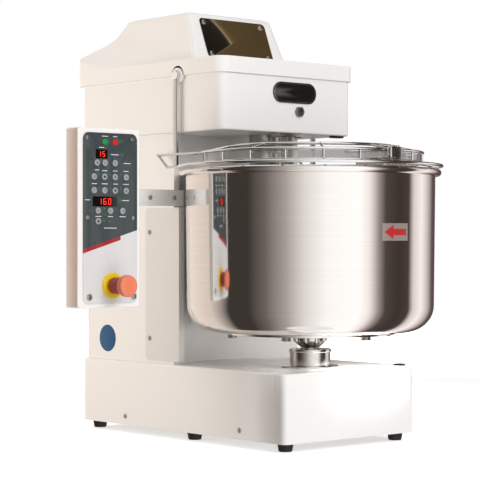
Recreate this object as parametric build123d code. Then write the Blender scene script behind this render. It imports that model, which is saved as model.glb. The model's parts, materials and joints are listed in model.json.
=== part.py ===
from build123d import *
import math
import os

# Spiral dough mixer with a fixed head, a turning bowl and a tilting wire guard.
# Units are millimetres, +Z is up, the front faces -Y and the operator's right is +X.
# Everything is laid out about the bowl's axis, at X = 0 and Y = 0, with the floor at Z = 0,
# and is moved at the end so that the origin lies under the middle of the whole machine.

# ---------------------------------------------------------------- driving dimensions
SHEET = 2.5             # folded steel sheet of every casing
SEAM = 0.5              # visible gap between two casing pieces
FIT = 0.05              # radial running clearance of shafts and pins
SLIP = 0.4              # clearance of covers and loose parts

FOOT_H = 16.0           # feet
FOOT_TOP_R = 16.0
FOOT_END_R = 13.0
FOOT_IN_X = 28.0        # foot centre, in from the base's side
FOOT_IN_Y = 28.0        # foot centre, in from the base's front and back
MIDDLE_FOOT_Y = 180.0

BASE_W = 356.0          # base
BASE_FRONT = -119.0
BASE_BEHIND = 129.0     # base, behind the motors' axis
BASE_TOP = 150.0
BASE_CORNER = 14.0
BASE_EDGE = 5.0
FRONT_COVER_D = 26.0    # how far the front cover wraps round the sides
BOTTOM_PLATE_T = 4.0
SLOTS = 8               # air slots in the bottom plate
SLOT_PITCH = 14.0
SLOT_HALF = 90.0
SLOT_START = 60.0       # behind the middle feet

COLUMN_IN = 6.0         # how far the column stands in from the base's sides
COLUMN_BACK_IN = 15.0   # and from its back
BOWL_ROOM = 21.0        # between the bowl and the column's hollow front
COLUMN_AHEAD = 30.0     # column's front edges, ahead of the bowl's rear side
VENTS = 9               # air slots in the rear cover
VENT_PITCH = 16.0
VENT_HALF = 70.0
HATCH_HALF = 28.0       # opening behind the access door
HATCH_UP = 30.0         # above the door's lower edge
HATCH_DOWN = 60.0       # under the control arm

HEAD_OUT = 1.0          # how far the head case stands out past the base
HEAD_FRONT = 63.0
HEAD_BOTTOM = 621.0
HEAD_TOP = 735.0
HEAD_CORNER = 18.0

LID_LIP = 7.0           # how far the lid stands out from the head case at the sides
LID_FRONT_LIP = 5.0
LID_BACK_LIP = 13.0
LID_SKIRT = 32.0
LID_SEAT = 14.0         # width of the flange that rests on the head case

HUMP_TOP = 876.0        # raised cover over the drive
HUMP_FRONT_FOOT_Y = 203.0
HUMP_FRONT_TOP_Y = 246.0
HUMP_TOP_HALF = 115.0
HUMP_FOOT_HALF = 130.0
HUMP_REAR_TOP_Y = 448.0
HUMP_SHOULDER_Z = 791.0  # height of the shoulder at the rear corners
HUMP_CREASE_Y = 490.0
HUMP_CREASE_HALF = 120.0

MIRROR_HALF = 91.0      # polished plate on the hump's slanted front
MIRROR_LOW = 780.0
MIRROR_HIGH = 865.0
MIRROR_T = 1.5
MIRROR_CORNER = 10.0

BADGE_L = 118.0         # blank badge and lock on the head's front
BADGE_H = 42.0
BADGE_T = 2.5
BADGE_X = 16.0
BADGE_Z = 703.0
LOCK_X = 28.0
LOCK_Z = 665.0
LOCK_R = 11.0
LOCK_L = 7.0

BOWL_R = 250.0          # bowl, outside, under the rim
BOWL_DRAFT = 3.5        # how much smaller the bowl is at its foot
BOWL_WALL = 2.0
BOWL_FLOOR = 222.0
BOWL_TOP = 544.0
BOWL_CORNER = 52.0
RIM_ROLL = 7.0
DISC_R = 170.0          # stiffening disc under the bowl
DISC_T = 6.0
DISC_BOLT_PCR = 158.0
DISC_BOLTS = 6
BOLT_AF = 17.0          # bolt head, across flats
BOLT_HEAD = 7.0

HUB_R = 40.5            # bowl hub
HUB_H = 36.0
HUB_LIP_R = 42.5
HUB_LIP = 6.0
HUB_FLANGE_R = 72.0
HUB_FLANGE_T = 8.0
HUB_RING_R = 57.0
HUB_RING_T = 3.0
HUB_NECK = 26.0         # how far the hub reaches under its flange
BOWL_SHAFT_R = 15.0
BEARING_W = 12.0
HUB_BEARING_R = 26.0
COUPLING_R = 34.0
COUPLING_NECK_R = 19.0
COUPLING_H = 27.0
COUPLING_NOTCHES = 10

PULLEY_W = 28.0         # belt drives
BELT_W = 20.0
BELT_T = 4.0
BOWL_PULLEY_R = 105.0
BOWL_PULLEY_Z = 64.0
BOWL_MOTOR_PULLEY_R = 32.0
SPIRAL_PULLEY_R = 95.0
SPIRAL_PULLEY_Z = 690.0
SPIRAL_MOTOR_PULLEY_R = 36.0
MOTOR_BEHIND = 150.0    # motors' axis, behind the bowl's side
MOTOR_FLANGE_T = 10.0
BOWL_MOTOR_R = 72.0
BOWL_MOTOR_H = 230.0
BOWL_MOTOR_SHAFT_R = 9.0
SPIRAL_MOTOR_R = 80.0
SPIRAL_MOTOR_H = 170.0
SPIRAL_MOTOR_SHAFT_R = 11.0
MOTOR_FLANGE_LIP = 14.0
MOTOR_FINS = 9
FIN_GAP = 5.0
FIN_DEPTH = 5.0
MOTOR_END = 30.0        # plain length at each end of the fins
MOTOR_BORE = 40.0       # depth of the hole for its pulley's shaft
TERMINAL_IN = 12.0      # terminal box, sunk into the motor and standing out of it
TERMINAL_OUT = 30.0
TERMINAL_HALF_W = 35.0
TERMINAL_HALF_H = 30.0
BOWL_MOTOR_REACH = 20.0  # pulley shafts, inside their motors
SPIRAL_MOTOR_REACH = 30.0
PULLEY_HOLES = 5
BELT_CLEAR = 0.3        # between a belt and its pulleys

SPIRAL_X = 26.0         # spiral tool
SPIRAL_Y = 165.0
SPIRAL_R = 56.0         # centre line of the helix
SPIRAL_ROD_R = 12.0
WELD = 0.6              # how far a weld or rounded end stands out from its rod
SPIRAL_TURNS = 1.5
SPIRAL_LOW = 254.0      # centre line at the lower end, clear of the bowl's rounded corner
SPIRAL_HIGH = 541.0     # centre line of the carrying arm
SPIRAL_SHAFT_R = 20.0
SPIRAL_FLANGE_R = 31.0
SPIRAL_FLANGE_LOW = 556.0
SPIRAL_FLANGE_H = 30.0
SPIRAL_HOUSING_R = 32.0
SPIRAL_HOUSING_LOW = 590.0
SPIRAL_HOUSING_TOP = 684.0
SPIRAL_HOUSING_FLANGE_R = 60.0
SPIRAL_HOUSING_FLANGE_T = 9.0
SPIRAL_BEARING_R = 28.0

BAR_X = 8.0             # breaker bar
BAR_Y = 75.0
BAR_SIDE = 20.0
BAR_GAP = 8.0           # between its lower end and the bowl's floor
BAR_FLANGE_L = 70.0
BAR_FLANGE_D = 22.0
BAR_FLANGE_T = 8.0

PIVOT_BEFORE = 58.0     # guard pivot, ahead of the bowl's rear side
BOSS_R = 16.0
BOSS_L = 8.7
LID_NOTCH = 4.0         # gap round the boss in the lid's skirt
PIN_R = 6.0
PIN_HEAD_R = 9.0
PIN_HEAD_L = 2.6
ARM_T = 4.0
ARM_W = 14.0
ARM_GAP = 0.3
GUARD_WIRE_R = 3.0      # guard
GUARD_LOW_OUT = 13.0    # lower hoop, outside the bowl's side
GUARD_LOW_Z = 550.5
GUARD_TOP_IN = 25.0     # upper hoops, inside the bowl's side
GUARD_TOP_Z = 576.0
GUARD_MIDDLE_Z = 556.0
GUARD_INNER_IN = 78.0
GUARD_INNER_Z = 588.0
GUARD_INNER_END_Y = 60.0
GUARD_LEG_PAST = 25.0   # how far the legs reach past the column's front
GUARD_LEG_R = 2.7
GUARD_LEG_LAP = 4.0     # how far a leg runs past the end of its hoop
GUARD_LEG_CUT = 30.0    # lower leg is shorter, to clear the bowl's rim as the guard tilts
GUARD_POSTS = 13
BAND_T = 2.0            # clear band inside the guard
BAND_GAP = 0.3
HANDLE_W = 32.0
HANDLE_D = 12.0
HANDLE_LIFT = 5.0

BOX_LEFT = -481.0       # control box
BOX_W = 146.0
BOX_H = 341.0
BOX_D = 37.0
BOX_FRONT = 125.0
BOX_BOTTOM = 275.0
BOX_CORNER = 5.0
BOX_WALL = 2.0
PANEL_T = 1.5
PANEL_LEFT = 12.0       # panel edges, from the box's left and top edges
PANEL_RIGHT = 140.0
PANEL_HIGH = 9.0
PANEL_LOW = 334.0
PANEL_CORNER = 13.0
WINDOW_LEFT = 29.0      # window behind the keys
WINDOW_RIGHT = 122.0
WINDOW_HIGH = 14.0
WINDOW_LOW = 188.0
KEY_R = 6.2
KEY_TRAVEL = 0.5
KEY_PROUD = KEY_TRAVEL + 0.3  # a key still stands out when it is pressed
KEY_FLANGE = 1.0
KEY_CLEAR = 0.25
KEY_ROWS = (            # height down from the top edge, then places from the left edge
    (66.0, (44.5, 63.0, 87.0)),
    (92.5, (37.5, 62.0, 87.0, 113.4)),
    (118.5, (37.5, 62.0, 87.0, 113.4)),
    (157.0, (47.0, 76.0, 105.0)),
    (177.0, (47.0,)),
)
START_UV = (63.0, 26.0)
STOP_UV = (87.0, 26.0)
STUD_R = 4.0
STUD_UV = ((22.0, 19.0), (128.0, 19.0), (22.0, 170.0), (130.0, 170.0))
LATCH_R = 6.0
LATCH_UV = ((26.0, 321.0), (131.0, 321.0))
ESTOP_UV = (81.0, 299.5)
ESTOP_COLLAR_R = 25.0
ESTOP_COLLAR_T = 2.5
ESTOP_HEAD_R = 21.5
ESTOP_HEAD_T = 14.0
ESTOP_NECK_R = 16.0
ESTOP_STEM_R = 11.0
ESTOP_REACH = 54.0      # from the panel to the button's face
ESTOP_TRAVEL = 4.0

ARM_LOW = 472.0         # arm that carries the control box
ARM_HIGH = 505.0
ARM_D = 18.0
ARM_LEFT = -430.0
ARM_INTO = 12.0         # how far it reaches into the column
ARM_WALL = 3.0
NECK_LEFT = -440.0
NECK_RIGHT = -384.0
NECK_MARGIN = 14.0

DOOR_T = 2.0            # access door on the column's left side
DOOR_D = 92.0           # from the column's front to the door's rear edge
DOOR_LOW = 156.0
DOOR_GAP = 2.0
DOOR_RETURN = 13.0
DOOR_CORNER = 12.0

SCREW_R = 5.0           # dome-head screws
SCREW_H = 2.5
MIRROR_SCREW_IN = 12.0  # from the plate's side, and from its top and bottom
MIRROR_SCREW_UP = 9.0
DOOR_SCREW_IN = 15.0    # from the door's rear edge
DOOR_SCREW_LOW = 201.0
DOOR_SCREW_HIGH = 420.0
ARM_SCREWS = (26.0, 88.0)   # from the arm's right end
BASE_SCREWS = (10.0, 375.0)  # along the base's side
BASE_SCREW_Z = 34.0
STUD_PROUD = 1.6        # studs and latches, out of the panel
LATCH_PROUD = 2.2
LATCH_SLOT = 0.7        # half the width of a latch's slot
GLAND_R = 11.0
GLAND_L = 13.0
GLAND_X = -150.0
GLAND_Z = 190.0

# ---------------------------------------------------------------- values that follow
BASE_BACK = BOWL_R + MOTOR_BEHIND + BASE_BEHIND
COLUMN_W = BASE_W - 2 * COLUMN_IN
COLUMN_FRONT = BOWL_R - COLUMN_AHEAD
COLUMN_BACK = BASE_BACK - COLUMN_BACK_IN
COLUMN_BOW_R = BOWL_R + BOWL_ROOM
HEAD_W = BASE_W + 2 * HEAD_OUT
HEAD_BACK = BASE_BACK + 2 * HEAD_OUT
BOWL_BOTTOM_R = BOWL_R - BOWL_DRAFT
MOTOR_Y = BOWL_R + MOTOR_BEHIND
PIVOT_Y = BOWL_R - PIVOT_BEFORE
GUARD_LOW_R = BOWL_R + GUARD_LOW_OUT
GUARD_TOP_R = BOWL_R - GUARD_TOP_IN
GUARD_INNER_R = BOWL_R - GUARD_INNER_IN
GUARD_LEG_Y = COLUMN_FRONT + GUARD_LEG_PAST
ARM_FRONT = COLUMN_FRONT - ARM_D
ARM_RIGHT = ARM_INTO - COLUMN_W / 2
DOOR_BACK = COLUMN_FRONT + DOOR_D
LID_HALF = HEAD_W / 2 + LID_LIP
LID_FRONT = HEAD_FRONT - LID_FRONT_LIP
LID_BACK = HEAD_BACK + LID_BACK_LIP
LID_TOP = HEAD_TOP + LID_SKIRT
LID_CORNER = HEAD_CORNER + LID_LIP
BOX_RIGHT = BOX_LEFT + BOX_W
BOX_TOP = BOX_BOTTOM + BOX_H
BOX_BACK = BOX_FRONT + BOX_D
PANEL_FACE = BOX_FRONT - PANEL_T
DISC_LOW = BOWL_FLOOR - DISC_T
BAR_LOW = BOWL_FLOOR + BOWL_WALL + BAR_GAP
GUARD_ARM_X = HEAD_W / 2 + BOSS_L + ARM_GAP
GUARD_LEG_X = GUARD_ARM_X + ARM_T + GUARD_WIRE_R + BAND_GAP
REACH_RIGHT = GUARD_LOW_R + GUARD_WIRE_R
REACH_FRONT = -(GUARD_LOW_R + GUARD_WIRE_R)
CENTRE_X = (BOX_LEFT + REACH_RIGHT) / 2
CENTRE_Y = (REACH_FRONT + LID_BACK) / 2
ROW_FRAME = Location((-CENTRE_X, -CENTRE_Y, 0))


# ---------------------------------------------------------------- shapes used throughout
def block(x0, x1, y0, y1, z0, z1):
    """A box between two corners."""
    return Pos((x0 + x1) / 2, (y0 + y1) / 2, (z0 + z1) / 2) * Box(x1 - x0, y1 - y0, z1 - z0)


def upright(x, y, z0, z1, r):
    """A cylinder along Z."""
    return Pos(x, y, (z0 + z1) / 2) * Cylinder(r, z1 - z0)


def rod(start, end, r):
    """A round rod between two points."""
    run = Vector(*end) - Vector(*start)
    return Solid.make_cylinder(r, run.length, Plane(origin=start, z_dir=run.normalized()))


def prism(x0, x1, y0, y1, z0, z1, corner):
    """A box with rounded upright corners."""
    outline = RectangleRounded(x1 - x0, y1 - y0, corner)
    return Pos((x0 + x1) / 2, (y0 + y1) / 2, z0) * extrude(outline, z1 - z0)


def hoop(r, z, wire, first, last):
    """A wire bent to a circle about the bowl's axis, between two angles."""
    section = Plane.XZ * Pos(r, z) * Circle(wire)
    return Rot(0, 0, first) * revolve(section, Axis.Z, last - first)


def at_angle(r, angle, z):
    """A point on a circle about the bowl's axis."""
    turn = math.radians(angle)
    return (r * math.cos(turn), r * math.sin(turn), z)


def panel_point(uv):
    """X and Z of a place on the control box, given from its left and top edges."""
    return BOX_LEFT + uv[0], BOX_TOP - uv[1]


def front_disc(uv, y0, y1, r):
    """A disc that faces the operator on the control box."""
    x, z = panel_point(uv)
    return rod((x, y0, z), (x, y1, z), r)


def together(parts):
    """One compound of separate solids."""
    solids = [solid for part in parts for solid in part.solids()]
    return Compound(children=solids)


def save(name, part):
    """Moves a piece to the row's frame and writes it."""
    export_step(ROW_FRAME * part, "parts/" + name + ".step")


# ---------------------------------------------------------------- base
def base_outline(inset, z0, z1):
    half = BASE_W / 2 - inset
    return prism(-half, half, BASE_FRONT + inset, BASE_BACK - inset, z0, z1, BASE_CORNER - inset)


def base_shell():
    outer = base_outline(0, FOOT_H, BASE_TOP)
    outer = fillet(outer.faces().sort_by(Axis.Z)[-1].edges(), BASE_EDGE)
    return outer - base_outline(SHEET, FOOT_H, BASE_TOP - SHEET)


def base_housing():
    seam = BASE_FRONT + FRONT_COVER_D
    reach = BASE_W
    shell = base_shell() - block(-reach, reach, BASE_FRONT - 1, seam + SEAM, 0, BASE_TOP + 1)
    shell -= upright(0, 0, BASE_TOP - 2 * SHEET, BASE_TOP + 1, HUB_R + SLIP)
    return shell - upright(0, MOTOR_Y, BASE_TOP - 2 * SHEET, BASE_TOP + 1, BOWL_MOTOR_SHAFT_R * 2)


def base_front_cover():
    seam = BASE_FRONT + FRONT_COVER_D
    return base_shell() - block(-BASE_W, BASE_W, seam, BASE_BACK + 1, 0, BASE_TOP + 1)


def base_bottom_plate():
    plate = base_outline(SHEET + SLIP, FOOT_H, FOOT_H + BOTTOM_PLATE_T)
    for i in range(SLOTS):
        y = MIDDLE_FOOT_Y + SLOT_START + i * SLOT_PITCH
        plate -= block(-SLOT_HALF, SLOT_HALF, y, y + SLOT_PITCH / 3, 0, BASE_TOP / 2)
    return plate


def rubber_feet():
    side = BASE_W / 2 - FOOT_IN_X
    feet = []
    for y in (BASE_FRONT + FOOT_IN_Y, MIDDLE_FOOT_Y, BASE_BACK - FOOT_IN_Y):
        for x in (-side, side):
            feet.append(Pos(x, y, FOOT_H / 2) * Cone(FOOT_END_R, FOOT_TOP_R, FOOT_H))
    return together(feet)


# ---------------------------------------------------------------- column
def column_plan(inset, back):
    half = COLUMN_W / 2 - inset
    front = COLUMN_FRONT + inset
    plan = Pos(0, (front + back) / 2) * Rectangle(2 * half, back - front)
    return plan - Circle(COLUMN_BOW_R + inset)


def column_shell():
    back = COLUMN_BACK - SHEET
    height = HEAD_BOTTOM - BASE_TOP
    shell = extrude(column_plan(0, back), height) - extrude(column_plan(SHEET, back + 1), height)
    shell = Pos(0, 0, BASE_TOP) * shell
    side = -COLUMN_W / 2
    middle = (COLUMN_FRONT + DOOR_BACK) / 2
    return shell - block(
        side - 1, side + SHEET + 1, middle - HATCH_HALF, middle + HATCH_HALF,
        DOOR_LOW + HATCH_UP, ARM_LOW - HATCH_DOWN,
    )


def column_rear_cover():
    half = COLUMN_W / 2
    cover = block(-half, half, COLUMN_BACK - SHEET, COLUMN_BACK, BASE_TOP + SEAM, HEAD_BOTTOM - SEAM)
    for i in range(VENTS):
        z = (BASE_TOP + HEAD_BOTTOM) / 2 + i * VENT_PITCH
        cover -= block(
            -VENT_HALF, VENT_HALF, COLUMN_BACK - 2 * SHEET, COLUMN_BACK + 1, z, z + VENT_PITCH / 3
        )
    return cover


def column_access_door():
    side = -COLUMN_W / 2
    top = ARM_LOW - DOOR_GAP
    plate = block(side - DOOR_T, side, ARM_FRONT, DOOR_BACK, DOOR_LOW, top)
    plate = fillet(plate.edges().filter_by(Axis.X).group_by(Axis.Y)[-1], DOOR_CORNER)
    fold = block(side, side + DOOR_RETURN, ARM_FRONT, ARM_FRONT + DOOR_T, DOOR_LOW, top)
    return plate + fold


# ---------------------------------------------------------------- head
def head_case():
    half = HEAD_W / 2
    outer = prism(-half, half, HEAD_FRONT, HEAD_BACK, HEAD_BOTTOM, HEAD_TOP, HEAD_CORNER)
    inner = prism(
        -half + SHEET, half - SHEET, HEAD_FRONT + SHEET, HEAD_BACK - SHEET,
        HEAD_BOTTOM + SHEET, HEAD_TOP + 1, HEAD_CORNER - SHEET,
    )
    case = outer - inner
    low, high = HEAD_BOTTOM - 1, HEAD_BOTTOM + 2 * SHEET
    case -= upright(SPIRAL_X, SPIRAL_Y, low, high, SPIRAL_HOUSING_R + SLIP)
    return case - upright(0, MOTOR_Y, low, high, SPIRAL_MOTOR_SHAFT_R * 2)


def front_slope():
    """Plane of the hump's slanted front, at its foot."""
    rise = Vector(0, HUMP_FRONT_TOP_Y - HUMP_FRONT_FOOT_Y, HUMP_TOP - LID_TOP)
    normal = Vector(1, 0, 0).cross(rise).normalized()
    return Plane(origin=(0, HUMP_FRONT_FOOT_Y, LID_TOP), x_dir=(1, 0, 0), z_dir=normal)


def hump_forms():
    """Two sets of planes: the steep-sided core, and the flanks that spread to the rear."""
    shared = [front_slope(), Plane(origin=(0, 0, HUMP_TOP))]
    fall = Vector(0, LID_BACK - HUMP_REAR_TOP_Y, HUMP_SHOULDER_Z - HUMP_TOP)
    shared.append(Plane(origin=(0, HUMP_REAR_TOP_Y, HUMP_TOP), z_dir=fall.cross(Vector(-1, 0, 0))))
    crease_z = HUMP_TOP + (HUMP_CREASE_Y - HUMP_REAR_TOP_Y) * fall.Z / fall.Y
    core, flanks = [], []
    for side in (-1, 1):
        top = Vector(side * HUMP_TOP_HALF, HUMP_FRONT_TOP_Y, HUMP_TOP)
        foot = Vector(side * HUMP_FOOT_HALF, HUMP_FRONT_FOOT_Y, LID_TOP)
        crease = Vector(side * HUMP_CREASE_HALF, HUMP_CREASE_Y, crease_z)
        corner = Vector(side * LID_HALF, LID_BACK, HUMP_SHOULDER_Z)
        steep = (foot - top).cross(crease - top) * side
        core.append(Plane(origin=top, z_dir=steep))
        spread = (crease - foot).cross(corner - foot) * -side
        flanks.append(Plane(origin=foot, z_dir=spread))
    return shared + core, shared + flanks


def lid_body(inset, low):
    """The lid's outer form, or the hollow inside it."""
    half = LID_HALF - inset
    front, back = LID_FRONT + inset, LID_BACK - inset
    corner = LID_CORNER - inset
    body = prism(-half, half, front, back, low, LID_TOP - inset, corner)
    for planes in hump_forms():
        hump = prism(-half, half, front, back, low, HUMP_TOP + 1, corner)
        for plane in planes:
            hump = split(hump, bisect_by=plane.offset(-inset), keep=Keep.BOTTOM)
        body += hump
    return body


def head_lid():
    lid = lid_body(0, HEAD_TOP) - lid_body(SHEET, HEAD_TOP - 1)
    half = HEAD_W / 2 + SLIP
    seat = prism(
        -LID_HALF + SHEET, LID_HALF - SHEET, LID_FRONT + SHEET, LID_BACK - SHEET,
        HEAD_TOP, HEAD_TOP + SHEET, LID_CORNER - SHEET,
    )
    seat -= block(
        -half + LID_SEAT, half - LID_SEAT, HEAD_FRONT + LID_SEAT, HEAD_BACK - LID_SEAT,
        HEAD_TOP - 1, HEAD_TOP + 2 * SHEET,
    )
    lid += seat
    for side in (-1, 1):
        start = (side * HEAD_W / 2, PIVOT_Y, HEAD_TOP)
        end = (side * (LID_HALF + 1), PIVOT_Y, HEAD_TOP)
        lid -= rod(start, end, BOSS_R + LID_NOTCH)
    return lid


def mirror_place(x, z):
    """A point of the hump's slanted front at height z."""
    share = (z - LID_TOP) / (HUMP_TOP - LID_TOP)
    return x, HUMP_FRONT_FOOT_Y + share * (HUMP_FRONT_TOP_Y - HUMP_FRONT_FOOT_Y), z


def on_slope(x, z):
    """The slanted front's plane, with its origin at a chosen place."""
    slope = front_slope()
    return Plane(origin=mirror_place(x, z), x_dir=(1, 0, 0), z_dir=slope.z_dir)


def mirror_plate():
    low, high = Vector(*mirror_place(0, MIRROR_LOW)), Vector(*mirror_place(0, MIRROR_HIGH))
    face = on_slope(0, (MIRROR_LOW + MIRROR_HIGH) / 2)
    outline = RectangleRounded(2 * MIRROR_HALF, (high - low).length, MIRROR_CORNER)
    return extrude(face * outline, MIRROR_T)


def badge_plate():
    face = Plane(origin=(BADGE_X, HEAD_FRONT, BADGE_Z), x_dir=(1, 0, 0), z_dir=(0, -1, 0))
    return extrude(face * SlotOverall(BADGE_L, BADGE_H), BADGE_T)


def head_lock():
    face = Plane(origin=(LOCK_X, HEAD_FRONT, LOCK_Z), x_dir=(1, 0, 0), z_dir=(0, -1, 0))
    lock = extrude(face * RegularPolygon(LOCK_R, 6), LOCK_L)
    mouth, end = HEAD_FRONT - LOCK_L, HEAD_FRONT - LOCK_L / 2
    return lock - rod((LOCK_X, mouth - 1, LOCK_Z), (LOCK_X, end, LOCK_Z), LOCK_R / 2)


def pivot_bosses():
    bosses = []
    for side in (-1, 1):
        case = side * HEAD_W / 2
        face = case + side * BOSS_L
        cap = face + side * (ARM_T + 2 * ARM_GAP)
        boss = rod((case, PIVOT_Y, HEAD_TOP), (face, PIVOT_Y, HEAD_TOP), BOSS_R)
        boss += rod((face, PIVOT_Y, HEAD_TOP), (cap, PIVOT_Y, HEAD_TOP), PIN_R)
        boss += rod((cap, PIVOT_Y, HEAD_TOP), (cap + side * PIN_HEAD_L, PIVOT_Y, HEAD_TOP), PIN_HEAD_R)
        bosses.append(boss)
    return together(bosses)


# ---------------------------------------------------------------- bowl and its drive
def bowl_shell():
    def wall(inset):
        low, side = BOWL_FLOOR + inset, BOWL_R - inset
        foot = BOWL_BOTTOM_R - inset
        radius = BOWL_CORNER - inset
        top = BOWL_TOP - RIM_ROLL
        lines = Polyline((0, low), (foot, low), (side, top), (0, top), close=True)
        face = make_face(lines)
        corner = [v for v in face.vertices() if v.X > 1 and v.Y < low + 1]
        return fillet(corner, radius)

    section = wall(0) - wall(BOWL_WALL)
    section -= Pos(0, BOWL_TOP) * Rectangle(2 * (BOWL_R - BOWL_WALL) - 0.02, 2 * RIM_ROLL + 4)
    shell = revolve(Plane.XZ * section, Axis.Z)
    roll = Pos(BOWL_R - BOWL_WALL + RIM_ROLL, BOWL_TOP - RIM_ROLL) * Circle(RIM_ROLL)
    rim = revolve(Plane.XZ * roll, Axis.Z)
    return shell + rim


def bowl_base_disc():
    return upright(0, 0, DISC_LOW, BOWL_FLOOR, DISC_R)


def bowl_bolts():
    bolts = []
    head = extrude(RegularPolygon(BOLT_AF / 2, 6, major_radius=False), BOLT_HEAD)
    for i in range(DISC_BOLTS):
        x, y, z = at_angle(DISC_BOLT_PCR, 30 + i * 360 / DISC_BOLTS, DISC_LOW - BOLT_HEAD)
        bolts.append(Pos(x, y, z) * head)
    return together(bolts)


def bowl_coupling():
    low = DISC_LOW - COUPLING_H
    waist = low + COUPLING_H / 2
    body = Pos(0, 0, (low + waist) / 2) * Cone(COUPLING_NECK_R, COUPLING_R, waist - low)
    body += upright(0, 0, waist, DISC_LOW, COUPLING_R)
    for i in range(COUPLING_NOTCHES):
        x, y, _ = at_angle(COUPLING_R, i * 360 / COUPLING_NOTCHES, 0)
        body -= upright(x, y, low - 1, DISC_LOW - 3, COUPLING_R / 7)
    return body - upright(0, 0, low - 1, DISC_LOW + 1, BOWL_SHAFT_R + FIT)


def bowl_shaft():
    return upright(0, 0, BOWL_PULLEY_Z, DISC_LOW, BOWL_SHAFT_R)


def hub_housing():
    under = BASE_TOP - SHEET
    neck = under - HUB_FLANGE_T - HUB_NECK
    top = BASE_TOP + HUB_H
    hub = upright(0, 0, neck, top, HUB_R)
    hub += upright(0, 0, top - HUB_LIP, top, HUB_LIP_R)
    hub += upright(0, 0, under - HUB_FLANGE_T, under, HUB_FLANGE_R)
    hub += upright(0, 0, BASE_TOP, BASE_TOP + HUB_RING_T, HUB_RING_R)
    return hub - upright(0, 0, neck - 1, top + 1, HUB_BEARING_R)


def bearing(x, y, low, bore, outer):
    return upright(x, y, low, low + BEARING_W, outer) - upright(x, y, low - 1, low + BEARING_W + 1, bore)


def shaft_bearings():
    hub_low = BASE_TOP - SHEET - HUB_FLANGE_T - HUB_NECK + 2
    hub_high = BASE_TOP + HUB_H - BEARING_W - 2
    rings = [bearing(0, 0, z, BOWL_SHAFT_R + FIT, HUB_BEARING_R) for z in (hub_low, hub_high)]
    for z in (SPIRAL_HOUSING_LOW + 2, SPIRAL_HOUSING_TOP - BEARING_W - 2):
        rings.append(bearing(SPIRAL_X, SPIRAL_Y, z, SPIRAL_SHAFT_R + FIT, SPIRAL_BEARING_R))
    return together(rings)


def pulley(x, y, low, r, bore):
    """A flat-belt pulley with two flanges."""
    flange = (PULLEY_W - BELT_W) / 2
    body = upright(x, y, low, low + PULLEY_W, r)
    for z in (low, low + PULLEY_W - flange + SLIP):
        body += upright(x, y, z, z + flange - SLIP, r + BELT_T)
    return body - upright(x, y, low - 1, low + PULLEY_W + 1, bore)


def bowl_pulley():
    body = pulley(0, 0, BOWL_PULLEY_Z, BOWL_PULLEY_R, BOWL_SHAFT_R + FIT)
    for i in range(PULLEY_HOLES):
        x, y, _ = at_angle(BOWL_PULLEY_R * 0.6, i * 360 / PULLEY_HOLES, 0)
        body -= upright(x, y, 0, BASE_TOP, BOWL_PULLEY_R / 5)
    return body


def bowl_motor_pulley():
    top = BASE_TOP + MOTOR_FLANGE_T + BOWL_MOTOR_REACH
    wheel = pulley(0, MOTOR_Y, BOWL_PULLEY_Z, BOWL_MOTOR_PULLEY_R, BOWL_MOTOR_SHAFT_R / 2)
    return wheel + upright(0, MOTOR_Y, BOWL_PULLEY_Z, top, BOWL_MOTOR_SHAFT_R)


def motor(low, high, r, flange_at_top, shaft_r):
    """A finned motor with its flange at one end and a terminal box on its side."""
    body = upright(0, MOTOR_Y, low, high, r)
    pitch = (high - low - 2 * MOTOR_END) / MOTOR_FINS
    for i in range(MOTOR_FINS):
        z = low + MOTOR_END + i * pitch
        core = upright(0, MOTOR_Y, z, z + FIN_GAP, r - FIN_DEPTH)
        body -= upright(0, MOTOR_Y, z, z + FIN_GAP, r + 1) - core
    z0 = high - MOTOR_FLANGE_T if flange_at_top else low
    body += upright(0, MOTOR_Y, z0, z0 + MOTOR_FLANGE_T, r + MOTOR_FLANGE_LIP)
    middle = (low + high) / 2
    body += block(
        r - TERMINAL_IN, r + TERMINAL_OUT, MOTOR_Y - TERMINAL_HALF_W, MOTOR_Y + TERMINAL_HALF_W,
        middle - TERMINAL_HALF_H, middle + TERMINAL_HALF_H,
    )
    mouth = high if flange_at_top else low
    return body - upright(0, MOTOR_Y, mouth - MOTOR_BORE, mouth + MOTOR_BORE, shaft_r + FIT)


def bowl_motor():
    return motor(BASE_TOP, BASE_TOP + BOWL_MOTOR_H, BOWL_MOTOR_R, False, BOWL_MOTOR_SHAFT_R)


def spiral_motor():
    return motor(
        HEAD_BOTTOM - SPIRAL_MOTOR_H, HEAD_BOTTOM, SPIRAL_MOTOR_R, True, SPIRAL_MOTOR_SHAFT_R
    )


def belt(x0, y0, r0, x1, y1, r1, low):
    """A flat belt round two pulleys, made of two wraps and two straight runs."""
    def loop(extra):
        first, second = Vector(x0, y0, 0), Vector(x1, y1, 0)
        reach = (second - first).length
        lean = math.asin((r0 - r1) / reach)
        heading = math.atan2(y1 - y0, x1 - x0)
        corners = []
        for side in (1, -1):
            turn = heading + side * (math.pi / 2 - lean)
            way = Vector(math.cos(turn), math.sin(turn), 0)
            ends = [first + way * (r0 + extra), second + way * (r1 + extra)]
            corners += ends if side > 0 else ends[::-1]
        points = [(c.X, c.Y) for c in corners]
        shape = make_face(Polyline(*points, close=True))
        return shape + Pos(x0, y0) * Circle(r0 + extra) + Pos(x1, y1) * Circle(r1 + extra)

    ring = loop(BELT_CLEAR + BELT_T - 1) - loop(BELT_CLEAR)
    return Pos(0, 0, low) * extrude(ring, BELT_W - 2)


def bowl_belt():
    low = BOWL_PULLEY_Z + (PULLEY_W - BELT_W) / 2 + 1
    return belt(0, 0, BOWL_PULLEY_R, 0, MOTOR_Y, BOWL_MOTOR_PULLEY_R, low)


def spiral_belt():
    low = SPIRAL_PULLEY_Z + (PULLEY_W - BELT_W) / 2 + 1
    return belt(SPIRAL_X, SPIRAL_Y, SPIRAL_PULLEY_R, 0, MOTOR_Y, SPIRAL_MOTOR_PULLEY_R, low)


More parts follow.
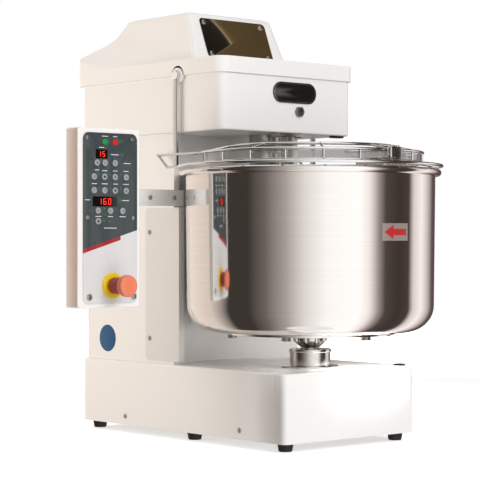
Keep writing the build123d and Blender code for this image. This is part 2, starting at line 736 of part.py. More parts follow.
# ---------------------------------------------------------------- spiral and breaker bar
def spiral_bearing_housing():
    inside = HEAD_BOTTOM + SHEET
    body = upright(SPIRAL_X, SPIRAL_Y, SPIRAL_HOUSING_LOW, SPIRAL_HOUSING_TOP, SPIRAL_HOUSING_R)
    body += upright(
        SPIRAL_X, SPIRAL_Y, inside, inside + SPIRAL_HOUSING_FLANGE_T, SPIRAL_HOUSING_FLANGE_R
    )
    return body - upright(
        SPIRAL_X, SPIRAL_Y, SPIRAL_HOUSING_LOW - 1, SPIRAL_HOUSING_TOP + 1, SPIRAL_BEARING_R
    )


def spiral_shaft():
    top = SPIRAL_PULLEY_Z + PULLEY_W + 3
    shaft = upright(SPIRAL_X, SPIRAL_Y, SPIRAL_FLANGE_LOW, top, SPIRAL_SHAFT_R)
    high = SPIRAL_FLANGE_LOW + SPIRAL_FLANGE_H
    return shaft + upright(SPIRAL_X, SPIRAL_Y, SPIRAL_FLANGE_LOW, high, SPIRAL_FLANGE_R)


def spiral_pulley():
    return pulley(SPIRAL_X, SPIRAL_Y, SPIRAL_PULLEY_Z, SPIRAL_PULLEY_R, SPIRAL_SHAFT_R + FIT)


def spiral_motor_pulley():
    low = HEAD_BOTTOM - SPIRAL_MOTOR_REACH
    wheel = pulley(0, MOTOR_Y, SPIRAL_PULLEY_Z, SPIRAL_MOTOR_PULLEY_R, SPIRAL_MOTOR_SHAFT_R / 2)
    return wheel + upright(0, MOTOR_Y, low, SPIRAL_PULLEY_Z + PULLEY_W, SPIRAL_MOTOR_SHAFT_R)


def spiral_hook():
    """A round bar that leaves the hub sideways and winds down in a helix."""
    drop = SPIRAL_HIGH - SPIRAL_LOW
    path = Helix(pitch=drop / SPIRAL_TURNS, height=drop, radius=SPIRAL_R)
    low_end, high_end = path @ 0, path @ 1
    section = Plane(origin=low_end, z_dir=path % 0) * Circle(SPIRAL_ROD_R)
    hook = sweep(section, path, is_frenet=True)
    for end in (low_end, high_end):
        hook += Pos(end.X, end.Y, end.Z) * Sphere(SPIRAL_ROD_R + WELD)
    hook += rod((0, 0, drop), (high_end.X, high_end.Y, drop), SPIRAL_ROD_R)
    hook += upright(0, 0, drop - SPIRAL_ROD_R, SPIRAL_FLANGE_LOW - SPIRAL_LOW, SPIRAL_SHAFT_R)
    return Pos(SPIRAL_X, SPIRAL_Y, SPIRAL_LOW) * hook


def breaker_bar():
    half = BAR_SIDE / 2
    bar = block(BAR_X - half, BAR_X + half, BAR_Y - half, BAR_Y + half, BAR_LOW, HEAD_BOTTOM)
    bar += block(
        BAR_X - BAR_FLANGE_L / 2, BAR_X + BAR_FLANGE_L / 2,
        BAR_Y - BAR_FLANGE_D / 2, BAR_Y + BAR_FLANGE_D / 2,
        HEAD_BOTTOM - BAR_FLANGE_T, HEAD_BOTTOM,
    )
    return bar


# ---------------------------------------------------------------- guard
def leg_angle(r):
    """Angle at which a hoop reaches the straight legs beside the column."""
    return math.degrees(math.acos(GUARD_LEG_X / r))


def inner_angle():
    """How far past the sides the inner hoops and the band run."""
    return math.degrees(math.asin(GUARD_INNER_END_Y / GUARD_INNER_R))


def guard_frame():
    """Welded wire hoops, posts, spokes and legs, with two flat arms to the pivots."""
    wire, leg = GUARD_WIRE_R, GUARD_LEG_R
    top, low = leg_angle(GUARD_TOP_R), leg_angle(GUARD_LOW_R)
    inner = inner_angle()
    span = 180 + 2 * inner
    wires = [
        hoop(GUARD_TOP_R, GUARD_TOP_Z, wire, 180 - top, 360 + top),
        hoop(GUARD_TOP_R, GUARD_MIDDLE_Z, wire * 0.8, 179 - inner, 361 + inner),
        hoop(GUARD_LOW_R, GUARD_LOW_Z, wire, 180 - low, 360 + low),
        hoop(GUARD_INNER_R, GUARD_INNER_Z, wire, 179 - inner, 361 + inner),
    ]
    for i in range(GUARD_POSTS):
        angle = 180 - inner + i * span / (GUARD_POSTS - 1)
        above = at_angle(GUARD_TOP_R, angle, GUARD_TOP_Z)
        below = at_angle(GUARD_TOP_R, angle, GUARD_MIDDLE_Z)
        wires.append(rod(below, above, wire * 0.7))
        wires.append(rod(below, at_angle(GUARD_LOW_R, angle, GUARD_LOW_Z), wire * 0.7))
        if i % 2 == 0:
            wires.append(rod(above, at_angle(GUARD_INNER_R, angle, GUARD_INNER_Z), wire * 0.8))
    for side in (-1, 1):
        x = side * GUARD_LEG_X
        short = GUARD_LEG_Y - GUARD_LEG_CUT
        for r, z, turn, end in (
            (GUARD_TOP_R, GUARD_TOP_Z, top, GUARD_LEG_Y), (GUARD_LOW_R, GUARD_LOW_Z, low, short)
        ):
            start = r * math.sin(math.radians(turn)) - GUARD_LEG_LAP
            wires.append(rod((x, start, z), (x, end, z), leg))
        ends = (x, short - leg, GUARD_LOW_Z), (x, GUARD_LEG_Y - leg, GUARD_TOP_Z)
        wires.append(rod(*ends, wire + WELD))
    welded = wires[0] + wires[1:]
    return together([welded] + [guard_arm(side) for side in (-1, 1)])


def guard_arm(side):
    low = GUARD_LOW_Z - GUARD_WIRE_R
    face = Plane(origin=(side * GUARD_ARM_X, PIVOT_Y, 0), x_dir=(0, 1, 0), z_dir=(1, 0, 0))
    outline = Pos(0, (low + HEAD_TOP) / 2) * Rectangle(ARM_W, HEAD_TOP - low)
    outline += Pos(0, HEAD_TOP) * Circle(PIN_R + 4)
    outline -= Pos(0, HEAD_TOP) * Circle(PIN_R + FIT)
    return extrude(face * outline, side * ARM_T)


def guard_band():
    """Clear band that stands inside the posts."""
    outer = GUARD_TOP_R - GUARD_WIRE_R - BAND_GAP
    low, high = GUARD_MIDDLE_Z - GUARD_WIRE_R, GUARD_TOP_Z - GUARD_WIRE_R - BAND_GAP
    wall = Plane.XZ * Pos(outer - BAND_T / 2, (low + high) / 2) * Rectangle(BAND_T, high - low)
    inner = inner_angle()
    return Rot(0, 0, 180 - inner) * revolve(wall, Axis.Z, 180 + 2 * inner)


def guard_handle():
    """Block clamped on the front of the hoops, with two screw heads on top."""
    y = -GUARD_TOP_R - GUARD_WIRE_R - BAND_GAP
    half = HANDLE_W / 2
    grip = block(-half, half, y - HANDLE_D, y, GUARD_MIDDLE_Z + 2, GUARD_TOP_Z + HANDLE_LIFT)
    grip = fillet(grip.edges().filter_by(Axis.Z), 3)
    for x in (-half / 2, half / 2):
        top = GUARD_TOP_Z + HANDLE_LIFT
        grip += upright(x, y - HANDLE_D / 2, top, top + 3, 4)
    return grip


# ---------------------------------------------------------------- control box
def control_arm():
    tube = block(ARM_LEFT, ARM_RIGHT, ARM_FRONT, COLUMN_FRONT, ARM_LOW, ARM_HIGH)
    tube -= block(
        ARM_LEFT + ARM_WALL, ARM_RIGHT + 1, ARM_FRONT + ARM_WALL, COLUMN_FRONT - ARM_WALL,
        ARM_LOW + ARM_WALL, ARM_HIGH - ARM_WALL,
    )
    neck = block(
        NECK_LEFT, NECK_RIGHT, BOX_BACK, ARM_FRONT, ARM_LOW - NECK_MARGIN, ARM_HIGH + NECK_MARGIN
    )
    return tube + neck


def control_box():
    outer = block(BOX_LEFT, BOX_RIGHT, BOX_FRONT, BOX_BACK, BOX_BOTTOM, BOX_TOP)
    outer = fillet(outer.edges().filter_by(Axis.Y), BOX_CORNER)
    wall = BOX_WALL
    inner = block(
        BOX_LEFT + wall, BOX_RIGHT - wall, BOX_FRONT + wall, BOX_BACK - wall,
        BOX_BOTTOM + wall, BOX_TOP - wall,
    )
    box = outer - inner
    left, top = panel_point((WINDOW_LEFT, WINDOW_HIGH))
    right, low = panel_point((WINDOW_RIGHT, WINDOW_LOW))
    box -= block(left, right, BOX_FRONT - 1, BOX_FRONT + wall + 1, low, top)
    return box - front_disc(ESTOP_UV, BOX_FRONT - 1, BOX_FRONT + wall + 1, ESTOP_STEM_R + 2 * SLIP)


def all_keys():
    """Places of the round keys, row by row, from the top left."""
    return [(u, v) for v, row in KEY_ROWS for u in row]


def control_panel():
    left, top = panel_point((PANEL_LEFT, PANEL_HIGH))
    right, low = panel_point((PANEL_RIGHT, PANEL_LOW))
    middle = ((left + right) / 2, BOX_FRONT, (low + top) / 2)
    face = Plane(origin=middle, x_dir=(1, 0, 0), z_dir=(0, -1, 0))
    panel = extrude(face * RectangleRounded(right - left, top - low, PANEL_CORNER), PANEL_T)
    for uv in all_keys() + [START_UV, STOP_UV]:
        panel -= front_disc(uv, PANEL_FACE - 1, BOX_FRONT + 1, KEY_R + KEY_CLEAR)
    return panel - front_disc(ESTOP_UV, PANEL_FACE - 1, BOX_FRONT + 1, ESTOP_STEM_R + 2 * SLIP)


def key(uv):
    """A round key, held behind the panel by its flange."""
    back = BOX_FRONT + KEY_CLEAR
    cap = front_disc(uv, PANEL_FACE - KEY_PROUD, back, KEY_R)
    return cap + front_disc(uv, back, back + KEY_FLANGE, KEY_R + 1)


def panel_screws():
    heads = [front_disc(uv, PANEL_FACE - STUD_PROUD, PANEL_FACE, STUD_R) for uv in STUD_UV]
    y = PANEL_FACE - LATCH_PROUD
    for uv in LATCH_UV:
        x, z = panel_point(uv)
        slot = block(x - LATCH_R, x + LATCH_R, y - 1, y + 1, z - LATCH_SLOT, z + LATCH_SLOT)
        heads.append(front_disc(uv, y, PANEL_FACE, LATCH_R) - slot)
    return together(heads)


def estop_collar():
    disc = front_disc(ESTOP_UV, PANEL_FACE - ESTOP_COLLAR_T, PANEL_FACE, ESTOP_COLLAR_R)
    return disc - front_disc(ESTOP_UV, PANEL_FACE - 10, PANEL_FACE + 1, ESTOP_STEM_R + SLIP)


def estop_button():
    face = PANEL_FACE - ESTOP_REACH
    neck_end = PANEL_FACE - ESTOP_COLLAR_T - ESTOP_TRAVEL - 1
    head = front_disc(ESTOP_UV, face, face + ESTOP_HEAD_T, ESTOP_HEAD_R)
    head = fillet(head.edges().group_by(Axis.Y)[0], 4)
    head += front_disc(ESTOP_UV, face + ESTOP_HEAD_T, neck_end, ESTOP_NECK_R)
    return head + front_disc(ESTOP_UV, neck_end, BOX_FRONT + 15, ESTOP_STEM_R)


# ---------------------------------------------------------------- screws and cable gland
def dome(origin, normal):
    """A dome-head screw on a face."""
    head = extrude(Circle(SCREW_R), SCREW_H)
    head = fillet(head.faces().sort_by(Axis.Z)[-1].edges(), SCREW_H * 0.8)
    return Plane(origin=origin, z_dir=normal) * head


def cover_screws():
    slope = front_slope().z_dir
    screws = []
    for x in (MIRROR_SCREW_IN - MIRROR_HALF, MIRROR_HALF - MIRROR_SCREW_IN):
        for z in (MIRROR_LOW + MIRROR_SCREW_UP, MIRROR_HIGH - MIRROR_SCREW_UP):
            screws.append(dome(Vector(*mirror_place(x, z)) + slope * MIRROR_T, slope))
    side = -COLUMN_W / 2 - DOOR_T
    for z in (DOOR_SCREW_LOW, DOOR_SCREW_HIGH):
        screws.append(dome((side, DOOR_BACK - DOOR_SCREW_IN, z), (-1, 0, 0)))
    arm_z = (ARM_LOW + ARM_HIGH) / 2
    for along in ARM_SCREWS:
        screws.append(dome((ARM_RIGHT - along, ARM_FRONT, arm_z), (0, -1, 0)))
    for way in (-1, 1):
        for y in BASE_SCREWS:
            screws.append(dome((way * BASE_W / 2, y, BASE_SCREW_Z), (way, 0, 0)))
    return together(screws)


def cable_gland():
    back = COLUMN_BACK
    face = Plane(origin=(GLAND_X, back, GLAND_Z), x_dir=(1, 0, 0), z_dir=(0, 1, 0))
    nut = extrude(face * RegularPolygon(GLAND_R, 6), GLAND_L / 2)
    nut += rod((GLAND_X, back, GLAND_Z), (GLAND_X, back + GLAND_L, GLAND_Z), GLAND_R * 0.75)
    return nut - rod((GLAND_X, back + 2, GLAND_Z), (GLAND_X, back + GLAND_L + 1, GLAND_Z), GLAND_R * 0.4)


# ---------------------------------------------------------------- write every piece
os.makedirs("parts", exist_ok=True)
PIECES = (
    base_housing, base_front_cover, base_bottom_plate, rubber_feet,
    column_shell, column_rear_cover, column_access_door,
    head_case, head_lid, mirror_plate, badge_plate, head_lock, pivot_bosses,
    bowl_shell, bowl_base_disc, bowl_bolts, bowl_coupling, bowl_shaft, bowl_pulley,
    hub_housing, shaft_bearings, bowl_motor, bowl_motor_pulley, bowl_belt,
    spiral_bearing_housing, spiral_shaft, spiral_hook, spiral_pulley,
    spiral_motor, spiral_motor_pulley, spiral_belt, breaker_bar,
    guard_frame, guard_band, guard_handle,
    control_arm, control_box, control_panel, panel_screws, estop_collar, estop_button,
    cover_screws, cable_gland,
)
for piece in PIECES:
    save(piece.__name__, piece())
for number, place in enumerate(all_keys(), 1):
    save("key_%02d" % number, key(place))
save("start_button", key(START_UV))
save("stop_button", key(STOP_UV))
print("%d pieces" % (len(PIECES) + len(all_keys()) + 2))
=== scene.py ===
# %% [markdown]
# # A spiral dough mixer, finished for a close look
#
# The machine is a bakery mixer: a steel bowl turns on the base while a spiral winds the dough
# against a square bar. The imported CAD model gives every place and size. This lesson gives
# each piece its real surface: rounded folds in the casings, a spun bowl, bent wire, printed
# controls, and a plain studio round it all.
# The frame is loaded first.

# %% Load the imported model
import json
import math

import bmesh
import bpy
from mathutils import Matrix, Vector


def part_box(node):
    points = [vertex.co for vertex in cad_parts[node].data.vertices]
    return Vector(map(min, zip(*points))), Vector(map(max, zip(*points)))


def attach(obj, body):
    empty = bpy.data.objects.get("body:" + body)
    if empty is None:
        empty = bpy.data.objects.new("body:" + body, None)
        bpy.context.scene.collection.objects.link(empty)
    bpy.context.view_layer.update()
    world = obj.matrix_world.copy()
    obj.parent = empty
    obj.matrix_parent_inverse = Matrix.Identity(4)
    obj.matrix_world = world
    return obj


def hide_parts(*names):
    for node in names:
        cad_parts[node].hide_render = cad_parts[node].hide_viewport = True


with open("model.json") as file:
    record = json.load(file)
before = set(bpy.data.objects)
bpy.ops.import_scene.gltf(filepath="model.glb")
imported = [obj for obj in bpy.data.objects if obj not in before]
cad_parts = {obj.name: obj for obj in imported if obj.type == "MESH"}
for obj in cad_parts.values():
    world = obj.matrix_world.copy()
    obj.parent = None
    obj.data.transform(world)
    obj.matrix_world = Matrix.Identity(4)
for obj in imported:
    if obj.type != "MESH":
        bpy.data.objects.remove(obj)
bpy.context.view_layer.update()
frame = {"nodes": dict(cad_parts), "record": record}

MM = 0.001
bodies = frame["record"]["behaviour"]["bodies"]
body_of = {node: body for body, nodes in bodies.items() for node in nodes}


# %% [markdown]
# ## Places
#
# Everything is measured from the nodes' own boxes. The bowl's axis is the middle of the bowl's
# box, and the control panel's corner is where its printing is laid out from.

# %% Axis and corners
def corners(node):
    """The lowest and the highest corner of a node, as vectors."""
    low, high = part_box(node)
    return Vector(low), Vector(high)


def middle(node):
    low, high = corners(node)
    return (low + high) / 2


bowl_low, bowl_high = corners("bowl_shell")
axis = middle("bowl_shell")
axis.z = 0.0
box_low, box_high = corners("control_box")
panel_face = corners("control_panel")[0].y
print("bowl axis", tuple(round(v, 4) for v in axis), "panel face", round(panel_face, 4))

# %% [markdown]
# ## Camera
#
# A long lens far from the machine keeps its uprights straight and its sides nearly parallel,
# as in a catalogue. The camera stands low, level with the hub of the bowl, and looks
# along a line a little less than halfway round to the left side.

# %% Camera
CAMERA_TURN = math.radians(41.06)
CAMERA_DISTANCE = 3.4783
CAMERA_ASIDE = 0.140
CAMERA_HEIGHT = 0.3999
along = Vector((math.sin(CAMERA_TURN), math.cos(CAMERA_TURN), 0.0))
across = Vector((math.cos(CAMERA_TURN), -math.sin(CAMERA_TURN), 0.0))
lens = bpy.data.cameras.new("camera")
lens.lens = 130.2
lens.sensor_width = 36.0
camera = bpy.data.objects.new("camera", lens)
camera.location = axis - CAMERA_DISTANCE * along - CAMERA_ASIDE * across
camera.location.z = CAMERA_HEIGHT
camera.rotation_euler = (math.radians(90.06), 0.0, -CAMERA_TURN)
bpy.context.scene.collection.objects.link(camera)
bpy.context.scene.camera = camera
print("camera at", tuple(round(v, 3) for v in camera.location))


# %% [markdown]
# ## Colours and nodes
#
# A colour is given as an sRGB hex value, but the renderer works in linear light, so one
# function turns it. Another adds a node with its settings and links, which keeps each
# material short enough to read.

# %% Two small helpers for materials
def linear(hex_colour):
    """An sRGB hex colour as linear red, green, blue and alpha."""
    channels = [int(hex_colour[i:i + 2], 16) / 255 for i in (1, 3, 5)]
    return [c / 12.92 if c <= 0.04045 else ((c + 0.055) / 1.055) ** 2.4 for c in channels] + [1.0]


def add(tree, kind, sockets=None, **settings):
    """One node, with its settings, and its sockets filled with values or links."""
    made = tree.nodes.new(kind)
    for key, value in settings.items():
        setattr(made, key, value)
    for socket, value in (sockets or {}).items():
        if isinstance(value, bpy.types.NodeSocket):
            tree.links.new(value, made.inputs[socket])
        else:
            made.inputs[socket].default_value = value
    return made


print("white paint in linear light", [round(c, 3) for c in linear("#f2f0ec")])


# %% [markdown]
# ## The start of every finish
#
# Each finish is one shader with typical numbers for its real material. Real surfaces are never
# even, so a fine noise moves the colour and the roughness a little and lifts the surface by a
# fraction of a millimetre. Its size is given in millimetres, as grain, peel or sand is.

# %% A finish and its unevenness
def finish(name, hex_colour, roughness, metallic=0.0, **sockets):
    """A material with one shader. Returns the material, its tree, the shader and its place."""
    material = bpy.data.materials.new(name)
    material.use_nodes = True
    tree = material.node_tree
    tree.nodes.clear()
    shader = add(tree, "ShaderNodeBsdfPrincipled", {
        "Base Color": linear(hex_colour), "Roughness": roughness, "Metallic": metallic,
    })
    for socket, value in sockets.items():
        shader.inputs[socket.replace("_", " ")].default_value = value
    add(tree, "ShaderNodeOutputMaterial", {"Surface": shader.outputs["BSDF"]})
    place = add(tree, "ShaderNodeTexCoord").outputs["Object"]
    return material, tree, shader, place


def uneven(made, size_mm, hex_low, hex_high, rough_low, rough_high, lift_mm=0.0,
           stretch=(1, 1, 1)):
    """Noise of a real size on the colour, the roughness and the surface. Returns the material."""
    material, tree, shader, place = made
    stretched = add(tree, "ShaderNodeMapping", {"Vector": place, "Scale": stretch})
    noise = add(tree, "ShaderNodeTexNoise", {
        "Vector": stretched.outputs["Vector"], "Scale": 1.0 / (size_mm * MM), "Detail": 2.0,
    })
    tint = add(tree, "ShaderNodeMix", {
        0: noise.outputs["Fac"], 6: linear(hex_low), 7: linear(hex_high),
    }, data_type="RGBA")
    tree.links.new(tint.outputs[2], shader.inputs["Base Color"])
    spread = add(tree, "ShaderNodeMath", {
        0: noise.outputs["Fac"], 1: rough_high - rough_low, 2: rough_low,
    }, operation="MULTIPLY_ADD")
    tree.links.new(spread.outputs[0], shader.inputs["Roughness"])
    if lift_mm:
        bump = add(tree, "ShaderNodeBump", {
            "Height": noise.outputs["Fac"], "Distance": lift_mm * MM, "Strength": 0.5,
        })
        tree.links.new(bump.outputs["Normal"], shader.inputs["Normal"])
    return material


print("finish() and uneven() are ready")

# %% [markdown]
# ## Finishes
#
# Casings: folded steel sheet, powder coated in gloss white. The powder melts into a thick skin
# with a faint orange peel, so the sheen is even and slightly soft.
# Bowl: stainless steel sheet, spun and polished, nearly a mirror, with faint rings.
# Hub, disc, bar and flange: turned or ground steel, satin.
# Guard: steel wire, chromed, bright with thin dark lines.

# %% Metal and paint
powder_coat = uneven(
    finish("gloss_powder_coat", "#f4f3f1", 0.25, Coat_Weight=0.25, Coat_Roughness=0.08),
    9.0, "#f2f1ee", "#f5f4f2", 0.24, 0.28, lift_mm=0.004)
# The access door's coat has its own satin sheen, and is greyer than the white coat. The grey is
# painted shade, for the shade the door lies in beside the control box.
door_coat_painted_shade = uneven(
    finish("satin_powder_coat_painted_shade", "#e2e0de", 0.35),
    9.0, "#e0deda", "#e4e2e0", 0.32, 0.38, lift_mm=0.004)
polished_stainless = uneven(
    finish("polished_stainless_sheet", "#e6e2df", 0.08, 1.0),
    30.0, "#e2dedb", "#eae7e4", 0.06, 0.09, lift_mm=0.002, stretch=(0.15, 0.15, 8.0))
satin_steel = uneven(
    finish("satin_turned_steel", "#b9b5b0", 0.28, 1.0),
    4.0, "#aaa6a1", "#c4c0bb", 0.22, 0.36, lift_mm=0.01, stretch=(1, 1, 5.0))
turned_steel = uneven(
    finish("turned_bright_steel", "#cfccc8", 0.16, 1.0),
    4.0, "#c8c5c1", "#d6d3cf", 0.12, 0.2, lift_mm=0.005, stretch=(1, 1, 5.0))
dull_steel = uneven(
    finish("dull_pressed_steel", "#8c8882", 0.4, 1.0),
    9.0, "#7c7872", "#9a958f", 0.34, 0.5, lift_mm=0.02)
chromed_wire = uneven(
    finish("chromed_wire", "#dcdcdc", 0.1, 1.0),
    12.0, "#d2d2d2", "#e6e6e6", 0.07, 0.15)
cast_iron = uneven(
    finish("machined_cast_iron", "#4b4b4d", 0.5, 1.0),
    2.0, "#3b3b3d", "#5b5b5e", 0.4, 0.6, lift_mm=0.05)
motor_grey = uneven(
    finish("painted_die_casting", "#6f767c", 0.45),
    3.0, "#666d73", "#7a8187", 0.4, 0.55, lift_mm=0.05)
print("nine metals and paints")

# %% [markdown]
# Feet and pads are moulded rubber, dull and nearly black. Buttons and keys are moulded plastic
# with a soft sheen. The emergency stop is glossier, from many hands. The disc is vinyl film, the
# badge is baked enamel, and the guard's band is clear sheet.

# %% Rubber, plastics and enamel
black_rubber = uneven(
    finish("moulded_black_rubber", "#1a1a1a", 0.7),
    1.5, "#141414", "#232323", 0.6, 0.8, lift_mm=0.06)
black_nylon = uneven(
    finish("moulded_black_nylon", "#1c1b1a", 0.38),
    3.0, "#151413", "#262423", 0.3, 0.45, lift_mm=0.03)
key_plastic = uneven(
    finish("moulded_grey_key", "#9a9d9f", 0.35),
    2.0, "#94979a", "#a2a5a7", 0.3, 0.42, lift_mm=0.01)
red_plastic = uneven(
    finish("moulded_red_button", "#ee8360", 0.25, Coat_Weight=0.3, Coat_Roughness=0.1),
    5.0, "#ea7c59", "#f28b69", 0.2, 0.3)
stop_plastic = uneven(
    finish("moulded_red_key", "#c8201e", 0.3), 4.0, "#c01c1a", "#d02825", 0.26, 0.36)
start_plastic = uneven(
    finish("moulded_green_key", "#1f8f4a", 0.3), 4.0, "#1b8644", "#249853", 0.26, 0.36)
yellow_plastic = uneven(
    finish("moulded_yellow_collar", "#f0cf1e", 0.35), 4.0, "#ebc918", "#f4d52c", 0.3, 0.42)
dark_red_plastic = uneven(
    finish("moulded_dark_red_neck", "#a3242c", 0.4), 4.0, "#981f27", "#ae2a32", 0.35, 0.45)
blue_vinyl = uneven(
    finish("blue_vinyl_disc", "#0f4f7a", 0.35), 6.0, "#0d4a73", "#125583", 0.3, 0.4)
black_enamel = uneven(
    finish("black_enamel", "#161413", 0.12, Coat_Weight=0.6, Coat_Roughness=0.03),
    12.0, "#121010", "#1c1a19", 0.1, 0.16)
clear_sheet = finish(
    "clear_polycarbonate", "#f4f7f6", 0.04, Transmission_Weight=0.92, IOR=1.58)[0]
print("eleven rubbers, plastics and enamels")


# %% [markdown]
# ## Making a piece
#
# Every new piece goes through one function. It shades gentle edges smooth and leaves sharp
# folds sharp, gives the piece its finishes and hangs it on the body that carries its node. A
# piece that stands for the node also hides it.


def ride_as(name, work, finishes, node, stands=True, fold=32.0):
    """Turns mesh work into a piece that rides, and may stand for its node."""
    for face in work.faces:
        face.smooth = True
    for edge in work.edges:
        edge.smooth = edge.is_manifold and edge.calc_face_angle(0.0) < math.radians(fold)
    mesh = bpy.data.meshes.new(name)
    work.to_mesh(mesh)
    work.free()
    made = bpy.data.objects.new(name, mesh)
    bpy.context.scene.collection.objects.link(made)
    for one in finishes:
        mesh.materials.append(one)
    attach(made, body_of[node])
    if stands:
        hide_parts(node)
    print(name, len(mesh.polygons), "faces")


# %% [markdown]
# ## Casings with folded edges
#
# Sheet steel is folded on a press brake, so no outer edge is sharp: each has a radius of one
# to three sheet thicknesses. A copy of the CAD mesh is welded and its flat
# triangles are joined, and then only the outer edges that are folds are bevelled.

# %% Welded copies with rounded folds
WELD = 0.005 * MM  # points nearer than this are one
STILL_FLAT = math.radians(0.4)  # faces that differ by less are one
SHARP = 0.35  # radians; a gentler edge isn't a fold


def welded(node):
    """A copy of a node's mesh with its triangles joined into flat faces."""
    work = bmesh.new()
    work.from_mesh(frame["nodes"][node].data)
    bmesh.ops.remove_doubles(work, verts=work.verts, dist=WELD)
    bmesh.ops.dissolve_limit(work, angle_limit=STILL_FLAT, verts=work.verts, edges=work.edges)
    return work


def round_folds(work, radius_mm, chosen, segments=4, shortest_mm=0.0):
    """Bevels the convex sharp edges for which chosen(middle of the edge) is true."""
    folds = []
    for edge in work.edges:
        if not edge.is_manifold or not edge.is_convex or edge.calc_face_angle(0.0) < SHARP:
            continue
        if edge.calc_length() < shortest_mm * MM:
            continue
        if chosen((edge.verts[0].co + edge.verts[1].co) / 2):
            folds.append(edge)
    bmesh.ops.bevel(
        work, geom=folds, offset=radius_mm * MM, offset_type="OFFSET", segments=segments,
        profile=0.5, affect="EDGES", clamp_overlap=not shortest_mm, material=-1)
    return len(folds)


print("welded() and round_folds() are ready")

# %% [markdown]
# A choice function says which edges are rounded. The head's case is only rounded round its
# foot, near its sides and its ends, where it was folded. The rest are rounded everywhere.

# %% Coated casings
CASE_SIDE = 172 * MM
CASE_END = 20 * MM
case_low, case_high = corners("head_case")


def everywhere(point):
    """Every fold is rounded."""
    return True


def case_foot(point):
    """The outer edges round the foot of the head's case."""
    at_side = abs(point.x - axis.x) > CASE_SIDE
    at_end = point.y < case_low.y + CASE_END or point.y > case_high.y - CASE_END
    return point.z < case_low.z + 1 * MM and (at_side or at_end)


# node, radius in mm, edges
for node, radius, chosen in (
    ("head_case", 4.0, case_foot),
    ("base_housing", 0.8, everywhere),
    ("base_front_cover", 0.8, everywhere),
    ("column_shell", 0.8, everywhere),
    ("column_rear_cover", 0.6, everywhere),
    ("column_access_door", 0.7, everywhere),
    ("control_box", 0.8, everywhere),
    ("control_arm", 1.2, everywhere),
):
    work = welded(node)
    count = round_folds(work, radius, chosen)
    # the access door takes the greyer coat, whose grey is painted shade
    coat = door_coat_painted_shade if node == "column_access_door" else powder_coat
    ride_as(node + "_coated", work, [coat], node)
    print("  folds rounded:", count)

# %% [markdown]
# The lid is pressed, not folded, so its hump is softer than the casings: wide radii on the
# hump's own edges, and a smaller one round the rim of the skirt.

# %% Pressed lid
def lid_hump(point):
    """The hump starts above the lid's flat top."""
    return point.z > case_high.z + 40 * MM


def lid_rim(point):
    """The rim of the lid's flat top."""
    return case_high.z + 25 * MM < point.z < case_high.z + 33 * MM


lid = welded("head_lid")
print("  hump edges", round_folds(lid, 12.0, lid_hump, segments=6, shortest_mm=30.0))
print("  rim edges", round_folds(lid, 4.0, lid_rim))
ride_as("head_lid_pressed", lid, [powder_coat], "head_lid", fold=40.0)

# %% [markdown]
# ## Turned, pressed and bought-in steel
#
# Screws, bolts, bearings and the hub are turned or pressed. Their CAD shapes are right, so they
# only need welding, a fine broken edge, and the finish of the real thing.

# %% Small steel pieces
for node, surface, radius in (
    ("bowl_base_disc", polished_stainless, 1.5),
    ("bowl_bolts", satin_steel, 0.7), ("bowl_coupling", turned_steel, 0.3),
    ("bowl_shaft", satin_steel, 0.5), ("breaker_bar", satin_steel, 1.0),
    ("spiral_bearing_housing", satin_steel, 0.6), ("spiral_shaft", satin_steel, 0.8),
    ("head_lock", dull_steel, 0.5), ("pivot_bosses", powder_coat, 0.8),
    ("cover_screws", satin_steel, 0.1), ("panel_screws", satin_steel, 0.2),
    ("cable_gland", black_nylon, 0.4), ("mirror_plate", polished_stainless, 0.3),
    ("base_bottom_plate", dull_steel, 0.4),
):
    work = welded(node)
    round_folds(work, radius, everywhere, segments=2)
    ride_as(node + "_finished", work, [surface], node)

# %% [markdown]
# ## The hub
#
# The hub is a turned steel sleeve, bolted to the base over a painted ring. It is one node, so
# the faces of the ring are told apart by their height and take the casings' paint.

# %% Hub and ring
RING_HEIGHT = 3.2 * MM
hub_low = corners("hub_housing")[0]
work = welded("hub_housing")
round_folds(work, 0.5, everywhere, segments=2)
for face in work.faces:
    in_ring = face.calc_center_median().z < hub_low.z + RING_HEIGHT
    face.material_index = 1 if in_ring else 0
ride_as("hub_turned", work, [turned_steel, powder_coat], "hub_housing")

# %% [markdown]
# ## Hidden drives
#
# The motors, pulleys, belts and bearings sit inside the casings. Their CAD solids stay, and
# only take the finish of cast iron, painted casting or rubber.

# %% Finishes on carried-over nodes
for node, surface in (
    ("bowl_pulley", cast_iron), ("bowl_motor_pulley", cast_iron), ("spiral_pulley", cast_iron),
    ("spiral_motor_pulley", cast_iron), ("bowl_motor", motor_grey), ("spiral_motor", motor_grey),
    ("bowl_belt", black_rubber), ("spiral_belt", black_rubber), ("shaft_bearings", satin_steel),
):
    mesh = frame["nodes"][node].data
    mesh.materials.clear()
    mesh.materials.append(surface)
print("nine hidden nodes have their finish")


# %% [markdown]
# ## Spun shapes
#
# A bowl is spun: a disc of sheet is pressed over a turning former. The same idea makes its
# mesh. A profile of a few points is drawn beside the axis, its corners are rounded by a
# vertex bevel, and it is spun once round. Feet and buttons are made the same way.

